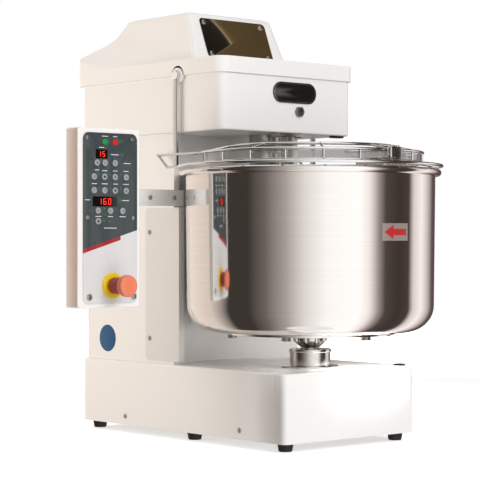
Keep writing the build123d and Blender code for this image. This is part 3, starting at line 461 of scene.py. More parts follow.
# %% A lathe
def spun(work, profile, place, steps=72):
    """Spins (radius, height, rounding) points, in mm, about the Z axis of place, into work."""
    blank = bmesh.new()
    points = [blank.verts.new((r * MM, 0.0, z * MM)) for r, z, _ in profile]
    for a, b in zip(points, points[1:]):
        blank.edges.new((a, b))
    for point, (_, _, rounding) in zip(points, profile):
        if rounding:
            bmesh.ops.bevel(
                blank, geom=[point], offset=rounding * MM, offset_type="OFFSET",
                segments=max(3, int(rounding / 3) + 3), profile=0.5, affect="VERTICES",
                clamp_overlap=False, material=-1)
    bmesh.ops.spin(
        blank, geom=blank.verts[:] + blank.edges[:], cent=(0, 0, 0), axis=(0, 0, 1),
        dvec=(0, 0, 0), angle=math.tau, steps=steps, use_merge=True, use_duplicate=False)
    bmesh.ops.remove_doubles(blank, verts=blank.verts, dist=0.002 * MM)
    bmesh.ops.transform(blank, matrix=place, verts=blank.verts)
    bmesh.ops.recalc_face_normals(blank, faces=blank.faces)
    turned = bpy.data.meshes.new("turned")
    blank.to_mesh(turned)
    blank.free()
    work.from_mesh(turned)
    bpy.data.meshes.remove(turned)


print("spun() is ready")

# %% [markdown]
# ## The bowl
#
# Two millimetre stainless sheet, 500 mm across, with a wide radius at its foot and its rim
# rolled outwards over a wire. The wall and the roll are spun together, and 240 steps keep the
# silhouette round in its polished side.

# %% Bowl
RIM = 7.0
WALL = 2.0
DRAFT = 3.5
CORNER = 52.0
BOWL_STEPS = 240
RIM_STEPS = 16
bowl_floor, bowl_top = bowl_low.z / MM, bowl_high.z / MM
rim_outer = (bowl_high.x - bowl_low.x) / 2 / MM
side = rim_outer - 2 * RIM + WALL
foot = side - DRAFT
bowl = bmesh.new()
at_axis = Matrix.Translation(axis)
spun(bowl, [
    (0, bowl_floor, 0), (foot, bowl_floor, CORNER), (side, bowl_top - RIM, 0),
    (side - WALL, bowl_top - RIM, 0), (foot - WALL, bowl_floor + WALL, CORNER - WALL),
    (0, bowl_floor + WALL, 0),
], at_axis, steps=BOWL_STEPS)
rim_turns = [i * math.tau / RIM_STEPS for i in range(RIM_STEPS + 1)]
rim_points = [
    (side - WALL + RIM - RIM * math.cos(turn), bowl_top - RIM + RIM * math.sin(turn), 0)
    for turn in rim_turns
]
spun(bowl, rim_points, at_axis, steps=BOWL_STEPS)
ride_as("bowl_spun", bowl, [polished_stainless], "bowl_shell")
print("bowl side radius", round(side, 2), "mm")


# %% [markdown]
# ## Bent wire
#
# The guard is chromed wire, bent round a former and spot welded. A hoop is a circle of wire
# spun about the bowl's axis through part of a turn. A straight wire is a rod between two
# points. The loose ends are closed at the end.

# %% Wire, rod and block
HOOP_STEP = 2.5  # degrees of a hoop between two sections of its wire


def hoop(work, radius, height, wire, first, last, segments=12):
    """A wire hoop about the bowl's axis between two angles. Sizes are in mm and degrees."""
    start = Matrix.Translation(axis) @ Matrix.Rotation(math.radians(first), 4, "Z")
    start = start @ Matrix.Translation((radius * MM, 0, height * MM))
    start = start @ Matrix.Rotation(math.pi / 2, 4, "X")
    ring = bmesh.ops.create_circle(work, segments=segments, radius=wire * MM, matrix=start)
    edges = list({e for v in ring["verts"] for e in v.link_edges})
    bmesh.ops.spin(
        work, geom=ring["verts"] + edges, cent=axis, axis=(0, 0, 1), dvec=(0, 0, 0),
        angle=math.radians(last - first), steps=int((last - first) / HOOP_STEP),
        use_merge=False, use_duplicate=False)


def rod(work, start, end, radius, segments=12):
    """A closed round rod between two points in metres, its radius in mm."""
    start, end = Vector(start), Vector(end)
    run = end - start
    place = Matrix.Translation((start + end) / 2)
    place = place @ run.to_track_quat("Z", "Y").to_matrix().to_4x4()
    bmesh.ops.create_cone(
        work, cap_ends=True, segments=segments, radius1=radius * MM, radius2=radius * MM,
        depth=run.length, matrix=place)


def block(work, low, high):
    """A box between two corners in metres. Returns its vertices."""
    low, high = Vector(low), Vector(high)
    place = Matrix.LocRotScale((low + high) / 2, None, high - low)
    return bmesh.ops.create_cube(work, size=1.0, matrix=place)["verts"]


def rounded(work, verts, radius_mm, direction=None, segments=3):
    """Bevels a block's edges, or only those that run along a direction."""
    edges = {e for v in verts for e in v.link_edges}
    if direction is not None:
        way = Vector(direction)
        edges = {
            e for e in edges
            if abs((e.verts[1].co - e.verts[0].co).normalized().dot(way)) > 0.99
        }
    bmesh.ops.bevel(
        work, geom=list(edges), offset=radius_mm * MM, offset_type="OFFSET", segments=segments,
        profile=0.5, affect="EDGES", clamp_overlap=True, material=-1)


print("hoop(), rod(), block() and rounded() are ready")

# %% [markdown]
# ## The guard
#
# A ring fence stands over the bowl's rim: a lower hoop outside the rim, an upper one above the
# bowl, a light hoop between, and an inner hoop that leads dough back. Short posts and struts
# join them. Two flat arms carry it from pivots on the head, and it tilts back on them.

# %% Sizes of the guard
WIRE = 3.0  # radius of the hoops' wire, as every length here in mm
LOW_R, LOW_Z = side + 13.0, 550.5
TOP_R, TOP_Z = side - 25.0, 576.0
MIDDLE_Z = 556.0
INNER_R, INNER_Z = side - 78.0, 588.0
OPENING = 60.0  # from the axis back to where the inner hoop ends
LEG_X = 195.3  # from the axis out to the straight legs
LEG_R = 2.7
POSTS = 13
guard_low, guard_high = corners("guard_frame")
leg_end = guard_high.y
leg_short = leg_end - 30.0 * MM


def on_ring(radius, angle, height):
    """A point about the bowl's axis, from mm and degrees."""
    turn = math.radians(angle)
    return axis + Vector((radius * math.cos(turn), radius * math.sin(turn), height)) * MM


inner_angle = math.degrees(math.asin(OPENING / INNER_R))
top_angle = math.degrees(math.acos(LEG_X / TOP_R))
low_angle = math.degrees(math.acos(LEG_X / LOW_R))
span = 180 + 2 * inner_angle
print("the hoops' legs start", round(top_angle, 1), "and", round(low_angle, 1), "degrees back")

# %% [markdown]
# The hoops are made first, then the posts and struts between them, and last the straight legs
# that carry on from the hoops' ends beside the head.

# %% Guard wires
guard = bmesh.new()
hoop(guard, TOP_R, TOP_Z, WIRE, 180 - top_angle, 360 + top_angle)
hoop(guard, LOW_R, LOW_Z, WIRE, 180 - low_angle, 360 + low_angle)
hoop(guard, TOP_R, MIDDLE_Z, WIRE * 0.8, 179 - inner_angle, 361 + inner_angle)
hoop(guard, INNER_R, INNER_Z, WIRE, 179 - inner_angle, 361 + inner_angle)
for i in range(POSTS):
    angle = 180 - inner_angle + i * span / (POSTS - 1)
    above, below = on_ring(TOP_R, angle, TOP_Z), on_ring(TOP_R, angle, MIDDLE_Z)
    rod(guard, below, above, WIRE * 0.7, 8)
    rod(guard, below, on_ring(LOW_R, angle, LOW_Z), WIRE * 0.7, 8)
    if i % 2 == 0:
        rod(guard, above, on_ring(INNER_R, angle, INNER_Z), WIRE * 0.8, 8)
for way in (-1, 1):
    x = axis.x + way * LEG_X * MM
    for radius, height, angle, end in (
        (TOP_R, TOP_Z, top_angle, leg_end), (LOW_R, LOW_Z, low_angle, leg_short),
    ):
        start = axis.y + radius * math.sin(math.radians(angle)) * MM
        rod(guard, (x, start - 1 * MM, height * MM), (x, end, height * MM), LEG_R)
    low_end = (x, leg_short - LEG_R * MM, LOW_Z * MM)
    top_end = (x, leg_end - LEG_R * MM, TOP_Z * MM)
    rod(guard, low_end, top_end, WIRE)
bmesh.ops.holes_fill(guard, edges=[e for e in guard.edges if e.is_boundary], sides=0)
print("guard wires have", len(guard.faces), "faces")

# %% [markdown]
# The arms are flat bars, 14 mm by 4 mm, with a round eye for the pivot. Each is a block whose
# upper end joins a short disc, and its edges are broken.

# %% Guard arms and the finished guard
ARM_INNER, ARM_OUTER = 188.0 * MM, 192.0 * MM
ARM_HALF = 7 * MM
EYE_R = 10.0
pivot = middle("pivot_bosses")
for way in (-1, 1):
    near, far = axis.x + way * ARM_INNER, axis.x + way * ARM_OUTER
    bar = block(
        guard, (min(near, far), pivot.y - ARM_HALF, guard_low.z),
        (max(near, far), pivot.y + ARM_HALF, pivot.z))
    rounded(guard, bar, 0.8, segments=2)
    rod(guard, (near, pivot.y, pivot.z), (far, pivot.y, pivot.z), EYE_R, 32)
bmesh.ops.recalc_face_normals(guard, faces=guard.faces)
ride_as("guard_wires", guard, [chromed_wire], "guard_frame")

# %% [markdown]
# The band is a strip of clear polycarbonate, bent round inside the posts, so that flour stays in
# the bowl and the baker still sees the dough. One face of a thin block is its section, and is
# spun round the bowl's axis.

# %% Clear band
BAND_T = 2.0
THIN = 0.01 * MM
BAND_STEPS = 90
band_low, band_high = corners("guard_band")
band_outer = TOP_R - WIRE - 0.3
band = bmesh.new()
start = Matrix.Translation(axis) @ Matrix.Rotation(math.radians(180 - inner_angle), 4, "Z")
block(
    band, ((band_outer - BAND_T) * MM, -THIN, band_low.z), (band_outer * MM, THIN, band_high.z))
bmesh.ops.transform(band, matrix=start, verts=band.verts)
section = max(band.faces, key=lambda face: face.calc_area())
bmesh.ops.delete(band, geom=[f for f in band.faces if f is not section], context="FACES")
bmesh.ops.spin(
    band, geom=[section] + section.verts[:] + section.edges[:], cent=axis, axis=(0, 0, 1),
    dvec=(0, 0, 0), angle=math.radians(span), steps=BAND_STEPS, use_merge=False,
    use_duplicate=False)
bmesh.ops.holes_fill(band, edges=[e for e in band.edges if e.is_boundary], sides=0)
bmesh.ops.recalc_face_normals(band, faces=band.faces)
ride_as("guard_clear_band", band, [clear_sheet], "guard_band")

# %% [markdown]
# The handle is a steel block with rounded corners, clamped on the front of the hoops, with two
# round screw heads on top. The heads are spun, and the block's edges are bevelled.

# %% Handle
SCREW_R, SCREW_T = 4, 3
grip_low, grip_high = corners("guard_handle")
grip_top = grip_high.z - SCREW_T * MM
grip = bmesh.new()
rounded(grip, block(grip, grip_low, (grip_high.x, grip_high.y, grip_top)), 3.0)
for share in (0.25, 0.75):
    x = grip_low.x + share * (grip_high.x - grip_low.x)
    y = (grip_low.y + grip_high.y) / 2
    spun(grip, [(0, 0, 0), (SCREW_R, 0, 0), (SCREW_R, SCREW_T, 1.2), (0, SCREW_T, 0)],
         Matrix.Translation((x, y, grip_top)), steps=24)
ride_as("guard_handle_block", grip, [turned_steel], "guard_handle")

# %% [markdown]
# ## The spiral
#
# The mixing tool is one round steel bar, 24 mm thick. It leaves the shaft sideways and winds
# down one and a half turns. A circle of the bar's size is set square to the
# path and spun about the shaft while it drops a little at each step.

# %% Spiral hook
HOOK_ROD = 12.0
HOOK_R = 56.0
HOOK_TURNS = 1.5
HOOK_STEPS = 120
hook_low = corners("spiral_hook")[0]
shaft_low = corners("spiral_shaft")[0]
shaft = middle("spiral_shaft")
hook_start = hook_low.z + (HOOK_ROD + 0.6) * MM
hook_end = shaft_low.z - 15 * MM
rise = hook_end - hook_start
slope = math.atan(rise / (HOOK_TURNS * math.tau * HOOK_R * MM))
hook = bmesh.new()
place = Matrix.Translation((shaft.x + HOOK_R * MM, shaft.y, hook_start))
place = place @ Matrix.Rotation(slope - math.pi / 2, 4, "X")
ring = bmesh.ops.create_circle(hook, segments=28, radius=HOOK_ROD * MM, matrix=place)
edges = list({e for v in ring["verts"] for e in v.link_edges})
bmesh.ops.spin(
    hook, geom=ring["verts"] + edges, cent=(shaft.x, shaft.y, 0), axis=(0, 0, 1),
    dvec=(0, 0, rise / HOOK_STEPS), angle=HOOK_TURNS * math.tau, steps=HOOK_STEPS,
    use_merge=False, use_duplicate=False)
bmesh.ops.holes_fill(hook, edges=[e for e in hook.edges if e.is_boundary], sides=0)
for point in (
    (shaft.x + HOOK_R * MM, shaft.y, hook_start), (shaft.x - HOOK_R * MM, shaft.y, hook_end),
):
    bmesh.ops.create_uvsphere(
        hook, u_segments=28, v_segments=16, radius=(HOOK_ROD + 0.05) * MM,
        matrix=Matrix.Translation(point))
rod(hook, (shaft.x, shaft.y, hook_end), (shaft.x - HOOK_R * MM, shaft.y, hook_end), HOOK_ROD, 28)
spun(hook, [(0, -HOOK_ROD, 0), (20, -HOOK_ROD, 3), (20, 15, 0), (0, 15, 0)],
     Matrix.Translation((shaft.x, shaft.y, hook_end)), steps=40)
bmesh.ops.recalc_face_normals(hook, faces=hook.faces)
ride_as("spiral_hook_bar", hook, [satin_steel], "spiral_hook")

# %% [markdown]
# ## Feet
#
# Six tapered rubber feet carry the machine. Each is spun from a short profile with a
# rounded lower edge, and all six are one piece, as they are one node.

# %% Rubber feet
FOOT_TOP, FOOT_END = 16.0, 13.0  # radii
MIDDLE_FEET = 180.0 * MM  # behind the bowl's axis
feet_low, feet_high = corners("rubber_feet")
feet = bmesh.new()
for y in (feet_low.y + FOOT_TOP * MM, axis.y + MIDDLE_FEET, feet_high.y - FOOT_TOP * MM):
    for x in (feet_low.x + FOOT_TOP * MM, feet_high.x - FOOT_TOP * MM):
        spun(feet, [(0, 0, 0), (FOOT_END, 0, 1.5), (FOOT_TOP - 0.6, 13, 0), (FOOT_TOP, 14, 0.5),
                    (FOOT_TOP, 16, 0), (0, 16, 0)], Matrix.Translation((x, y, 0)), steps=32)
ride_as("feet_moulded", feet, [black_rubber], "rubber_feet")

# %% [markdown]
# ## Badge
#
# The long plaque on the head is black enamel with a bright line near its edge. It is left
# blank. A block takes the round ends of a slot by a wide bevel, and its face is inset twice,
# which leaves the line.

# %% Blank badge
badge_low, badge_high = corners("badge_plate")
badge = bmesh.new()
plate = block(badge, badge_low, badge_high)
half_height = (badge_high.z - badge_low.z) / 2 / MM
rounded(badge, plate, half_height * 0.998, direction=(0, 1, 0), segments=14)
front = min(badge.faces, key=lambda f: f.calc_center_median().y)
for face in badge.faces:
    face.material_index = 1
bmesh.ops.inset_region(badge, faces=[front], thickness=1.2 * MM, depth=0.0)
line = bmesh.ops.inset_region(badge, faces=[front], thickness=2.6 * MM, depth=-0.5 * MM)
for face in line["faces"]:
    face.material_index = 0
ride_as("badge_blank", badge, [turned_steel, black_enamel], "badge_plate")


# %% [markdown]
# ## Control panel
#
# The controls sit behind one printed film: dark grey above, light grey below, with a red
# stripe under the slanted edge between them. The film is one sheet, so the print is a
# material on it, laid out in millimetres from the box's upper left corner.

# %% Printed film
SLANT = 0.29  # rise of the slanted edge for each millimetre across
EDGE = 234.1 * MM
STRIPE_WIDTH = 7.5 * MM
STRIPE_END = 100.0 * MM
film, tree, shader, place = finish("printed_panel_film", "#dcdcdb", 0.3, Coat_Weight=0.2)
xyz = add(tree, "ShaderNodeSeparateXYZ", {"Vector": place})
u = add(tree, "ShaderNodeMath", {0: xyz.outputs["X"], 1: box_low.x}, operation="SUBTRACT")
v = add(tree, "ShaderNodeMath", {0: box_high.z, 1: xyz.outputs["Z"]}, operation="SUBTRACT")
slanted = add(tree, "ShaderNodeMath", {
    0: u.outputs[0], 1: SLANT, 2: v.outputs[0]}, operation="MULTIPLY_ADD")
dark = add(tree, "ShaderNodeMath", {0: slanted.outputs[0], 1: EDGE}, operation="LESS_THAN")
above = add(tree, "ShaderNodeMath", {
    0: slanted.outputs[0], 1: EDGE + STRIPE_WIDTH}, operation="LESS_THAN")
left = add(tree, "ShaderNodeMath", {0: u.outputs[0], 1: STRIPE_END}, operation="LESS_THAN")
stripe = add(tree, "ShaderNodeMath", {
    0: above.outputs[0], 1: left.outputs[0]}, operation="MULTIPLY")
colour = linear("#dcdcdb")
for mask, hex_colour in ((stripe, "#a81c29"), (dark, "#3d4648")):
    layer = add(tree, "ShaderNodeMix", {
        0: mask.outputs[0], 6: colour, 7: linear(hex_colour)}, data_type="RGBA")
    colour = layer.outputs[2]
tree.links.new(colour, shader.inputs["Base Color"])
grain = add(tree, "ShaderNodeTexNoise", {"Vector": place, "Scale": 1 / (0.8 * MM)})
bump = add(tree, "ShaderNodeBump", {
    "Height": grain.outputs["Fac"], "Distance": 0.02 * MM, "Strength": 0.4})
tree.links.new(bump.outputs["Normal"], shader.inputs["Normal"])
work = welded("control_panel")
round_folds(work, 0.3, everywhere, segments=2)
ride_as("control_panel_film", work, [film], "control_panel")


# %% [markdown]
# ## Keys
#
# Each key is a domed disc with a wider skirt under the film and a printed sign. It is spun with
# a soft edge. The signs are thin raised bars, all of them generic: plus, minus, arrows, a square.

# %% Domed keys with their signs
KEY_R, KEY_SKIRT = 6.2, 7.2
INK_T = 0.16 * MM
facing = Matrix.Rotation(math.pi / 2, 4, "X")
sign_ink = uneven(
    finish("printed_dark_ink", "#2b2f31", 0.4), 3.0, "#26292b", "#313538", 0.35, 0.45)
white_ink = uneven(
    finish("printed_white_ink", "#e6e8e8", 0.4), 3.0, "#dfe1e1", "#eceeee", 0.35, 0.45)


def ink_bar(work, x, z, width, height, y, turn=0.0, ink=1):
    """A thin printed bar that faces the operator, its sizes in mm."""
    place = Matrix.Translation((x, y, z)) @ Matrix.Rotation(turn, 4, "Y")
    place = place @ Matrix.Diagonal((width * MM, INK_T, height * MM, 1.0))
    verts = bmesh.ops.create_cube(work, size=1.0, matrix=place)["verts"]
    for face in {f for v in verts for f in v.link_faces}:
        face.material_index = ink


def key_piece(node, plastic, sign):
    """A domed key that stands for its node, with a sign of up to two bars."""
    low, high = corners(node)
    x, z = (low.x + high.x) / 2, (low.z + high.z) / 2
    depth = (high.y - low.y) / MM
    work = bmesh.new()
    place = Matrix.Translation((x, high.y, z)) @ facing
    spun(work, [
        (0, 0, 0), (KEY_SKIRT, 0, 0), (KEY_SKIRT, 1.0, 0), (KEY_R, 1.0, 0),
        (KEY_R, depth - 0.1, 0.4), (3.0, depth, 0), (0, depth, 0),
    ], place, steps=36)
    y = low.y - 0.02 * MM
    for dx, dz, width, height, turn in sign:
        ink_bar(work, x + dx * MM, z + dz * MM, width, height, y, math.radians(turn))
    ride_as(node + "_domed", work, [plastic, sign_ink], node)


# each bar: across, up, width, height in mm, turn in degrees
SIGNS = (
    [(0, 0, 5.0, 1.0, 0), (0, 0, 1.0, 5.0, 0)],
    [(0, 0, 5.0, 1.0, 0)],
    [(-0.9, 0.8, 3.6, 0.9, 45), (-0.9, -0.8, 3.6, 0.9, -45)],
    [(0.9, 0.8, 3.6, 0.9, -45), (0.9, -0.8, 3.6, 0.9, 45)],
    [(0, 0, 4.2, 4.2, 45)],
)
keys = sorted(name for name in body_of if name.startswith("key_"))
for number, node in enumerate(keys):
    key_piece(node, key_plastic, SIGNS[number % len(SIGNS)])
key_piece("start_button", start_plastic, [])
key_piece("stop_button", stop_plastic, [])


# %% [markdown]
# ## Prints, lamps and displays on the panel
#
# Beside the keys are small lamps, bars where captions would be, and two dark windows with
# glowing figures. Captions are left as plain bars. The figures are seven-stroke numbers.

# %% Lamps, captions and figures
display_glass = uneven(
    finish("dark_display_window", "#0c0b0c", 0.08), 8.0, "#0a090a", "#100e0f", 0.06, 0.12)
figure_light = finish(
    "red_figure_light", "#ff3420", 0.4, Emission_Color=linear("#ff2a16"), Emission_Strength=1.3)[0]
lamp_green = uneven(finish("green_lamp", "#2f9a56", 0.25), 1.0, "#2a9350", "#37a660", 0.2, 0.3)


def panel_at(u, v):
    """X and Z of a place on the panel, from mm to the right of and below the box's corner."""
    return box_low.x + u * MM, box_high.z - v * MM


# each stroke of a figure: its place in strokes' lengths, and 1 if it is upright
STROKES = {
    "a": (0, 1, 0), "b": (0.5, 0.5, 1), "c": (0.5, -0.5, 1), "d": (0, -1, 0),
    "e": (-0.5, -0.5, 1), "f": (-0.5, 0.5, 1), "g": (0, 0, 0),
}
FIGURES = {"0": "abcdef", "1": "bc", "5": "acdfg", "6": "acdefg"}
STROKE = 1.1
prints = bmesh.new()
print_y = panel_face - 0.06 * MM
for u0, v0, u1, v1, text, tall in ((41, 41, 69, 58, "15", 4.6), (34, 130, 91, 149, "160", 5.4)):
    x, z = panel_at((u0 + u1) / 2, (v0 + v1) / 2)
    ink_bar(prints, x, z, u1 - u0, v1 - v0, print_y, ink=1)
    pitch = tall * 2.1
    for place_no, figure in enumerate(text):
        fx = x + (place_no - (len(text) - 1) / 2) * pitch * MM
        for stroke in FIGURES[figure]:
            sx, sz, upright = STROKES[stroke]
            size = (STROKE, tall) if upright else (tall, STROKE)
            ink_bar(prints, fx + sx * tall * MM, z + sz * tall * MM, *size,
                    print_y - 0.06 * MM, ink=2)
# caption bars: right and down from the corner, width
for u, v, width in (
    (63, 15.5, 14), (87, 15.5, 10), (55, 37, 12), (86, 50, 18), (116, 66, 16), (44, 80, 10),
    (62, 81, 12), (87, 81, 10), (113, 81, 12), (38, 106, 12), (62, 106, 14), (88, 106, 10),
    (113, 106, 14), (112, 137, 16), (22, 137, 12), (47, 168, 14), (76, 168, 12), (105, 168, 14),
    (76, 190, 30),
):
    x, z = panel_at(u, v)
    ink_bar(prints, x, z, width, 1.3, print_y, ink=0)
# small lamps: right and down from the corner
for u, v in (
    (104, 50), (104, 66), (30, 66), (49.5, 88), (74.5, 88), (100, 88), (49.5, 114), (74.5, 114),
    (100, 114), (100, 137), (27, 157), (61, 153), (90, 153), (61, 177), (74, 177),
):
    x, z = panel_at(u, v)
    spot = bmesh.ops.create_cone(
        prints, cap_ends=True, segments=14, radius1=1.5 * MM, radius2=1.3 * MM, depth=0.5 * MM,
        matrix=Matrix.Translation((x, panel_face - 0.1 * MM, z)) @ facing)
    for face in {f for vert in spot["verts"] for f in vert.link_faces}:
        face.material_index = 3
ride_as("panel_prints", prints, [white_ink, display_glass, figure_light, lamp_green],
        "control_panel", stands=False, fold=20)

# %% [markdown]
# ## Emergency stop
#
# A mushroom button on a yellow collar. The head is spun with a wide soft edge and a shallow
# dish, in orange-red, and the neck under it is a darker red. The collar is a thin disc.

# %% Mushroom button and collar
HEAD_T = 14.6 * MM  # how thick the orange head is
stop_low, stop_high = corners("estop_button")
collar_low, collar_high = corners("estop_collar")
stop_at = (stop_low + stop_high) / 2
mushroom = bmesh.new()
place = Matrix.Translation((stop_at.x, stop_high.y, stop_at.z)) @ facing
length = (stop_high.y - stop_low.y) / MM
spun(mushroom, [
    (0, 0, 0), (11, 0, 0), (11, 24.0, 0), (16, 24.0, 0.8), (15.5, length - 14, 0),
    (20.8, length - 14, 1.5), (21.5, length - 9, 2), (20.5, length - 1.5, 4), (14, length, 3),
    (0, length - 0.6, 0),
], place, steps=64)
head_from = stop_low.y + HEAD_T
for face in mushroom.faces:
    face.material_index = 0 if face.calc_center_median().y < head_from else 1
ride_as("stop_mushroom", mushroom, [red_plastic, dark_red_plastic], "estop_button")
collar = bmesh.new()
thick = (collar_high.y - collar_low.y) / MM
spun(collar, [(11.4, 0, 0), (25, 0, 0), (25, thick, 1.0), (11.4, thick, 0.4), (11.4, 0, 0)],
     Matrix.Translation((stop_at.x, collar_high.y, stop_at.z)) @ facing, steps=64)
ride_as("stop_collar", collar, [yellow_plastic], "estop_collar")

# %% [markdown]
# ## Turning arrow on the bowl
#
# A pale plate with a red arrow shows which way the bowl turns. The plate and the arrow are flat
# pieces first, and are then wrapped on the bowl's side, a tenth of a millimetre proud.

# %% Arrow plate
arrow_red = uneven(finish("red_arrow_ink", "#b02a2c", 0.3), 4.0, "#a82629", "#b93032", 0.25, 0.35)
pale_plate = uneven(
    finish("pale_plate_ink", "#b8a9a4", 0.25, 0.5), 4.0, "#b2a39e", "#beafaa", 0.2, 0.3)
ARROW_ANGLE = math.radians(267.4)
arrow = bmesh.new()


def flat_strip(work, u0, u1, w0, w1, proud, ink, taper=1.0):
    """A thin plate in mm, along the bowl's side and up it. A small taper points its left end."""
    middle_u, middle_w = (u0 + u1) / 2, (w0 + w1) / 2
    place = Matrix.Translation((middle_u, proud, middle_w))
    place = place @ Matrix.Diagonal((u1 - u0, 0.1, w1 - w0, 1.0))
    verts = bmesh.ops.create_cube(work, size=1.0, matrix=place)["verts"]
    for vert in verts:
        if vert.co.x < middle_u:
            vert.co.z = middle_w + (vert.co.z - middle_w) * taper
    faces = {f for v in verts for f in v.link_faces}
    for face in faces:
        face.material_index = ink
    edges = [
        e for e in {e for f in faces for e in f.edges}
        if abs(e.verts[0].co.x - e.verts[1].co.x) > 0.5 * (u1 - u0)
    ]
    bmesh.ops.subdivide_edges(work, edges=edges, cuts=12, use_grid_fill=True)


flat_strip(arrow, -33, 33, 402, 435, 0.1, 0)
flat_strip(arrow, -7, 28, 412.5, 424.5, 0.2, 1)
flat_strip(arrow, -27, -6, 404.5, 432.5, 0.2, 1, taper=0.02)
for vert in arrow.verts:
    u, proud, w = vert.co
    radius = foot + DRAFT * (w - bowl_floor) / (bowl_top - RIM - bowl_floor) + proud
    turn = ARROW_ANGLE + u / radius
    vert.co = axis + Vector((radius * math.cos(turn), radius * math.sin(turn), w)) * MM
bmesh.ops.recalc_face_normals(arrow, faces=arrow.faces)
ride_as("bowl_arrow", arrow, [pale_plate, arrow_red], "bowl_shell", stands=False, fold=20)

# %% [markdown]
# ## Disc and pads
#
# A plain blue vinyl disc sits low on the column's left side. Two small black rubber blocks are
# added, one under the head and one on the base under the bowl.

# %% Vinyl disc and rubber pads
DISC_R, DISC_T = 28.5, 0.3
column_low = corners("column_shell")[0]
disc_at = (column_low.x, axis.y + 445 * MM, 195 * MM)
disc = bmesh.new()
spun(disc, [(0, 0, 0), (DISC_R, 0, 0), (DISC_R, DISC_T, 0.1), (0, DISC_T, 0)],
     Matrix.Translation(disc_at) @ Matrix.Rotation(-math.pi / 2, 4, "Y"), steps=48)
ride_as("column_disc", disc, [blue_vinyl], "column_shell", stands=False)
pads = bmesh.new()
# right of and behind the bowl's axis, lower and upper height, half the width
for x, y, z0, z1, half in ((165, -89, 150, 153, 10), (150, 78, 617, 621, 14)):
    low = axis + Vector((x - half, y - 8, z0)) * MM
    high = axis + Vector((x + half, y + 8, z1)) * MM
    rounded(pads, block(pads, low, high), 1.2)
ride_as("rubber_pads", pads, [black_rubber], "base_housing", stands=False)

# %% [markdown]
# ## Studio
#
# Polished steel shows the room, not itself. So the room is designed: a pale floor, and
# a tall round wall of light with two dark gaps that draw the bowl's dark bands. The wall
# doesn't show itself to the camera, as flags and reflectors in a studio stand out of shot.
# One function makes each surface of the room and says which kinds of light don't meet it.
# Another makes a material that only glows, and a third sets the stops of a colour ramp.

# %% Making the room
def staged(name, work, material, unmet=()):
    """A surface of the studio from mesh work, unmet by some kinds of light."""
    mesh = bpy.data.meshes.new(name)
    work.to_mesh(mesh)
    work.free()
    mesh.materials.append(material)
    made = bpy.data.objects.new(name, mesh)
    bpy.context.scene.collection.objects.link(made)
    for kind in unmet:
        setattr(made, "visible_" + kind, False)
    return made


def glowing(name, strength):
    """A material that only glows. Returns it, its tree and its shader."""
    material = bpy.data.materials.new(name)
    material.use_nodes = True
    material.cycles.emission_sampling = "NONE"
    tree = material.node_tree
    tree.nodes.clear()
    glow = add(tree, "ShaderNodeEmission", {"Strength": strength})
    add(tree, "ShaderNodeOutputMaterial", {"Surface": glow.outputs["Emission"]})
    return material, tree, glow


def set_stops(ramp, stops):
    """Gives a colour ramp its stops, each a position from 0 to 1 and a colour."""
    colours = ramp.color_ramp.elements
    while len(colours) < len(stops):
        colours.new(0.5)
    for element, (position, hex_colour) in zip(colours, stops):
        element.position = position
        element.color = linear(hex_colour)


print("staged(), glowing() and set_stops() are ready")

# %% [markdown]
# The floor is matt and pale, and glows a little so that it ends in white. Neither the steel
# nor the casings meet its light, so it doesn't wash out the casings' lower edges.

# %% Floor
FLOOR_R = 5.5
floor_paint = uneven(
    finish("pale_studio_floor", "#fbfbfb", 0.6, Emission_Color=linear("#ffffff"),
           Emission_Strength=0.56),
    300.0, "#fafafa", "#fdfdfd", 0.55, 0.65)
floor_paint.cycles.emission_sampling = "NONE"
work = bmesh.new()
bmesh.ops.create_circle(
    work, cap_ends=True, segments=64, radius=FLOOR_R,
    matrix=Matrix.Translation((axis.x, axis.y, -0.5 * MM)))
floor = staged("studio_floor", work, floor_paint, ("glossy", "diffuse"))
print("floor is", [round(v, 2) for v in floor.dimensions])

# %% [markdown]
# The wall reaches below the floor, which doesn't show in the steel either. Its light is a
# colour ramp over an angle, zero at the front and growing to the right. The angle is twice the
# turn of the steel that shows a spot of the wall at the front, since a mirror turns light by
# twice its own turn. That steel faces half way between the spot and the front, so the half-way
# direction is worked out for each spot. The bands then run straight down the bowl's side and on
# round its foot, and where steel faces nearly down it shows a white line.

# %% Wall of light
WALL_R = 1.7
WALL_LOW = -8.0
WALL_HIGH = 2.6
work = bmesh.new()
bmesh.ops.create_cone(
    work, cap_ends=False, segments=96, radius1=WALL_R, radius2=WALL_R,
    depth=WALL_HIGH - WALL_LOW, matrix=Matrix.Translation((0, 0, (WALL_HIGH + WALL_LOW) / 2)))
bmesh.ops.reverse_faces(work, faces=work.faces)
wall_light, tree, glow = glowing("studio_wall_light", 1.3)
wall = staged("studio_wall", work, wall_light, ("camera", "shadow"))
wall.location = axis
wall.rotation_euler = (0, 0, -CAMERA_TURN)
print("wall of light", WALL_HIGH - WALL_LOW, "m tall")

# %% [markdown]
# The nodes first find the direction from the height of the bowl's foot to a spot of the wall,
# and count only a spot below that height as lower. Then comes the half-way direction, its turn
# for the ramp, and its fall for the white line.

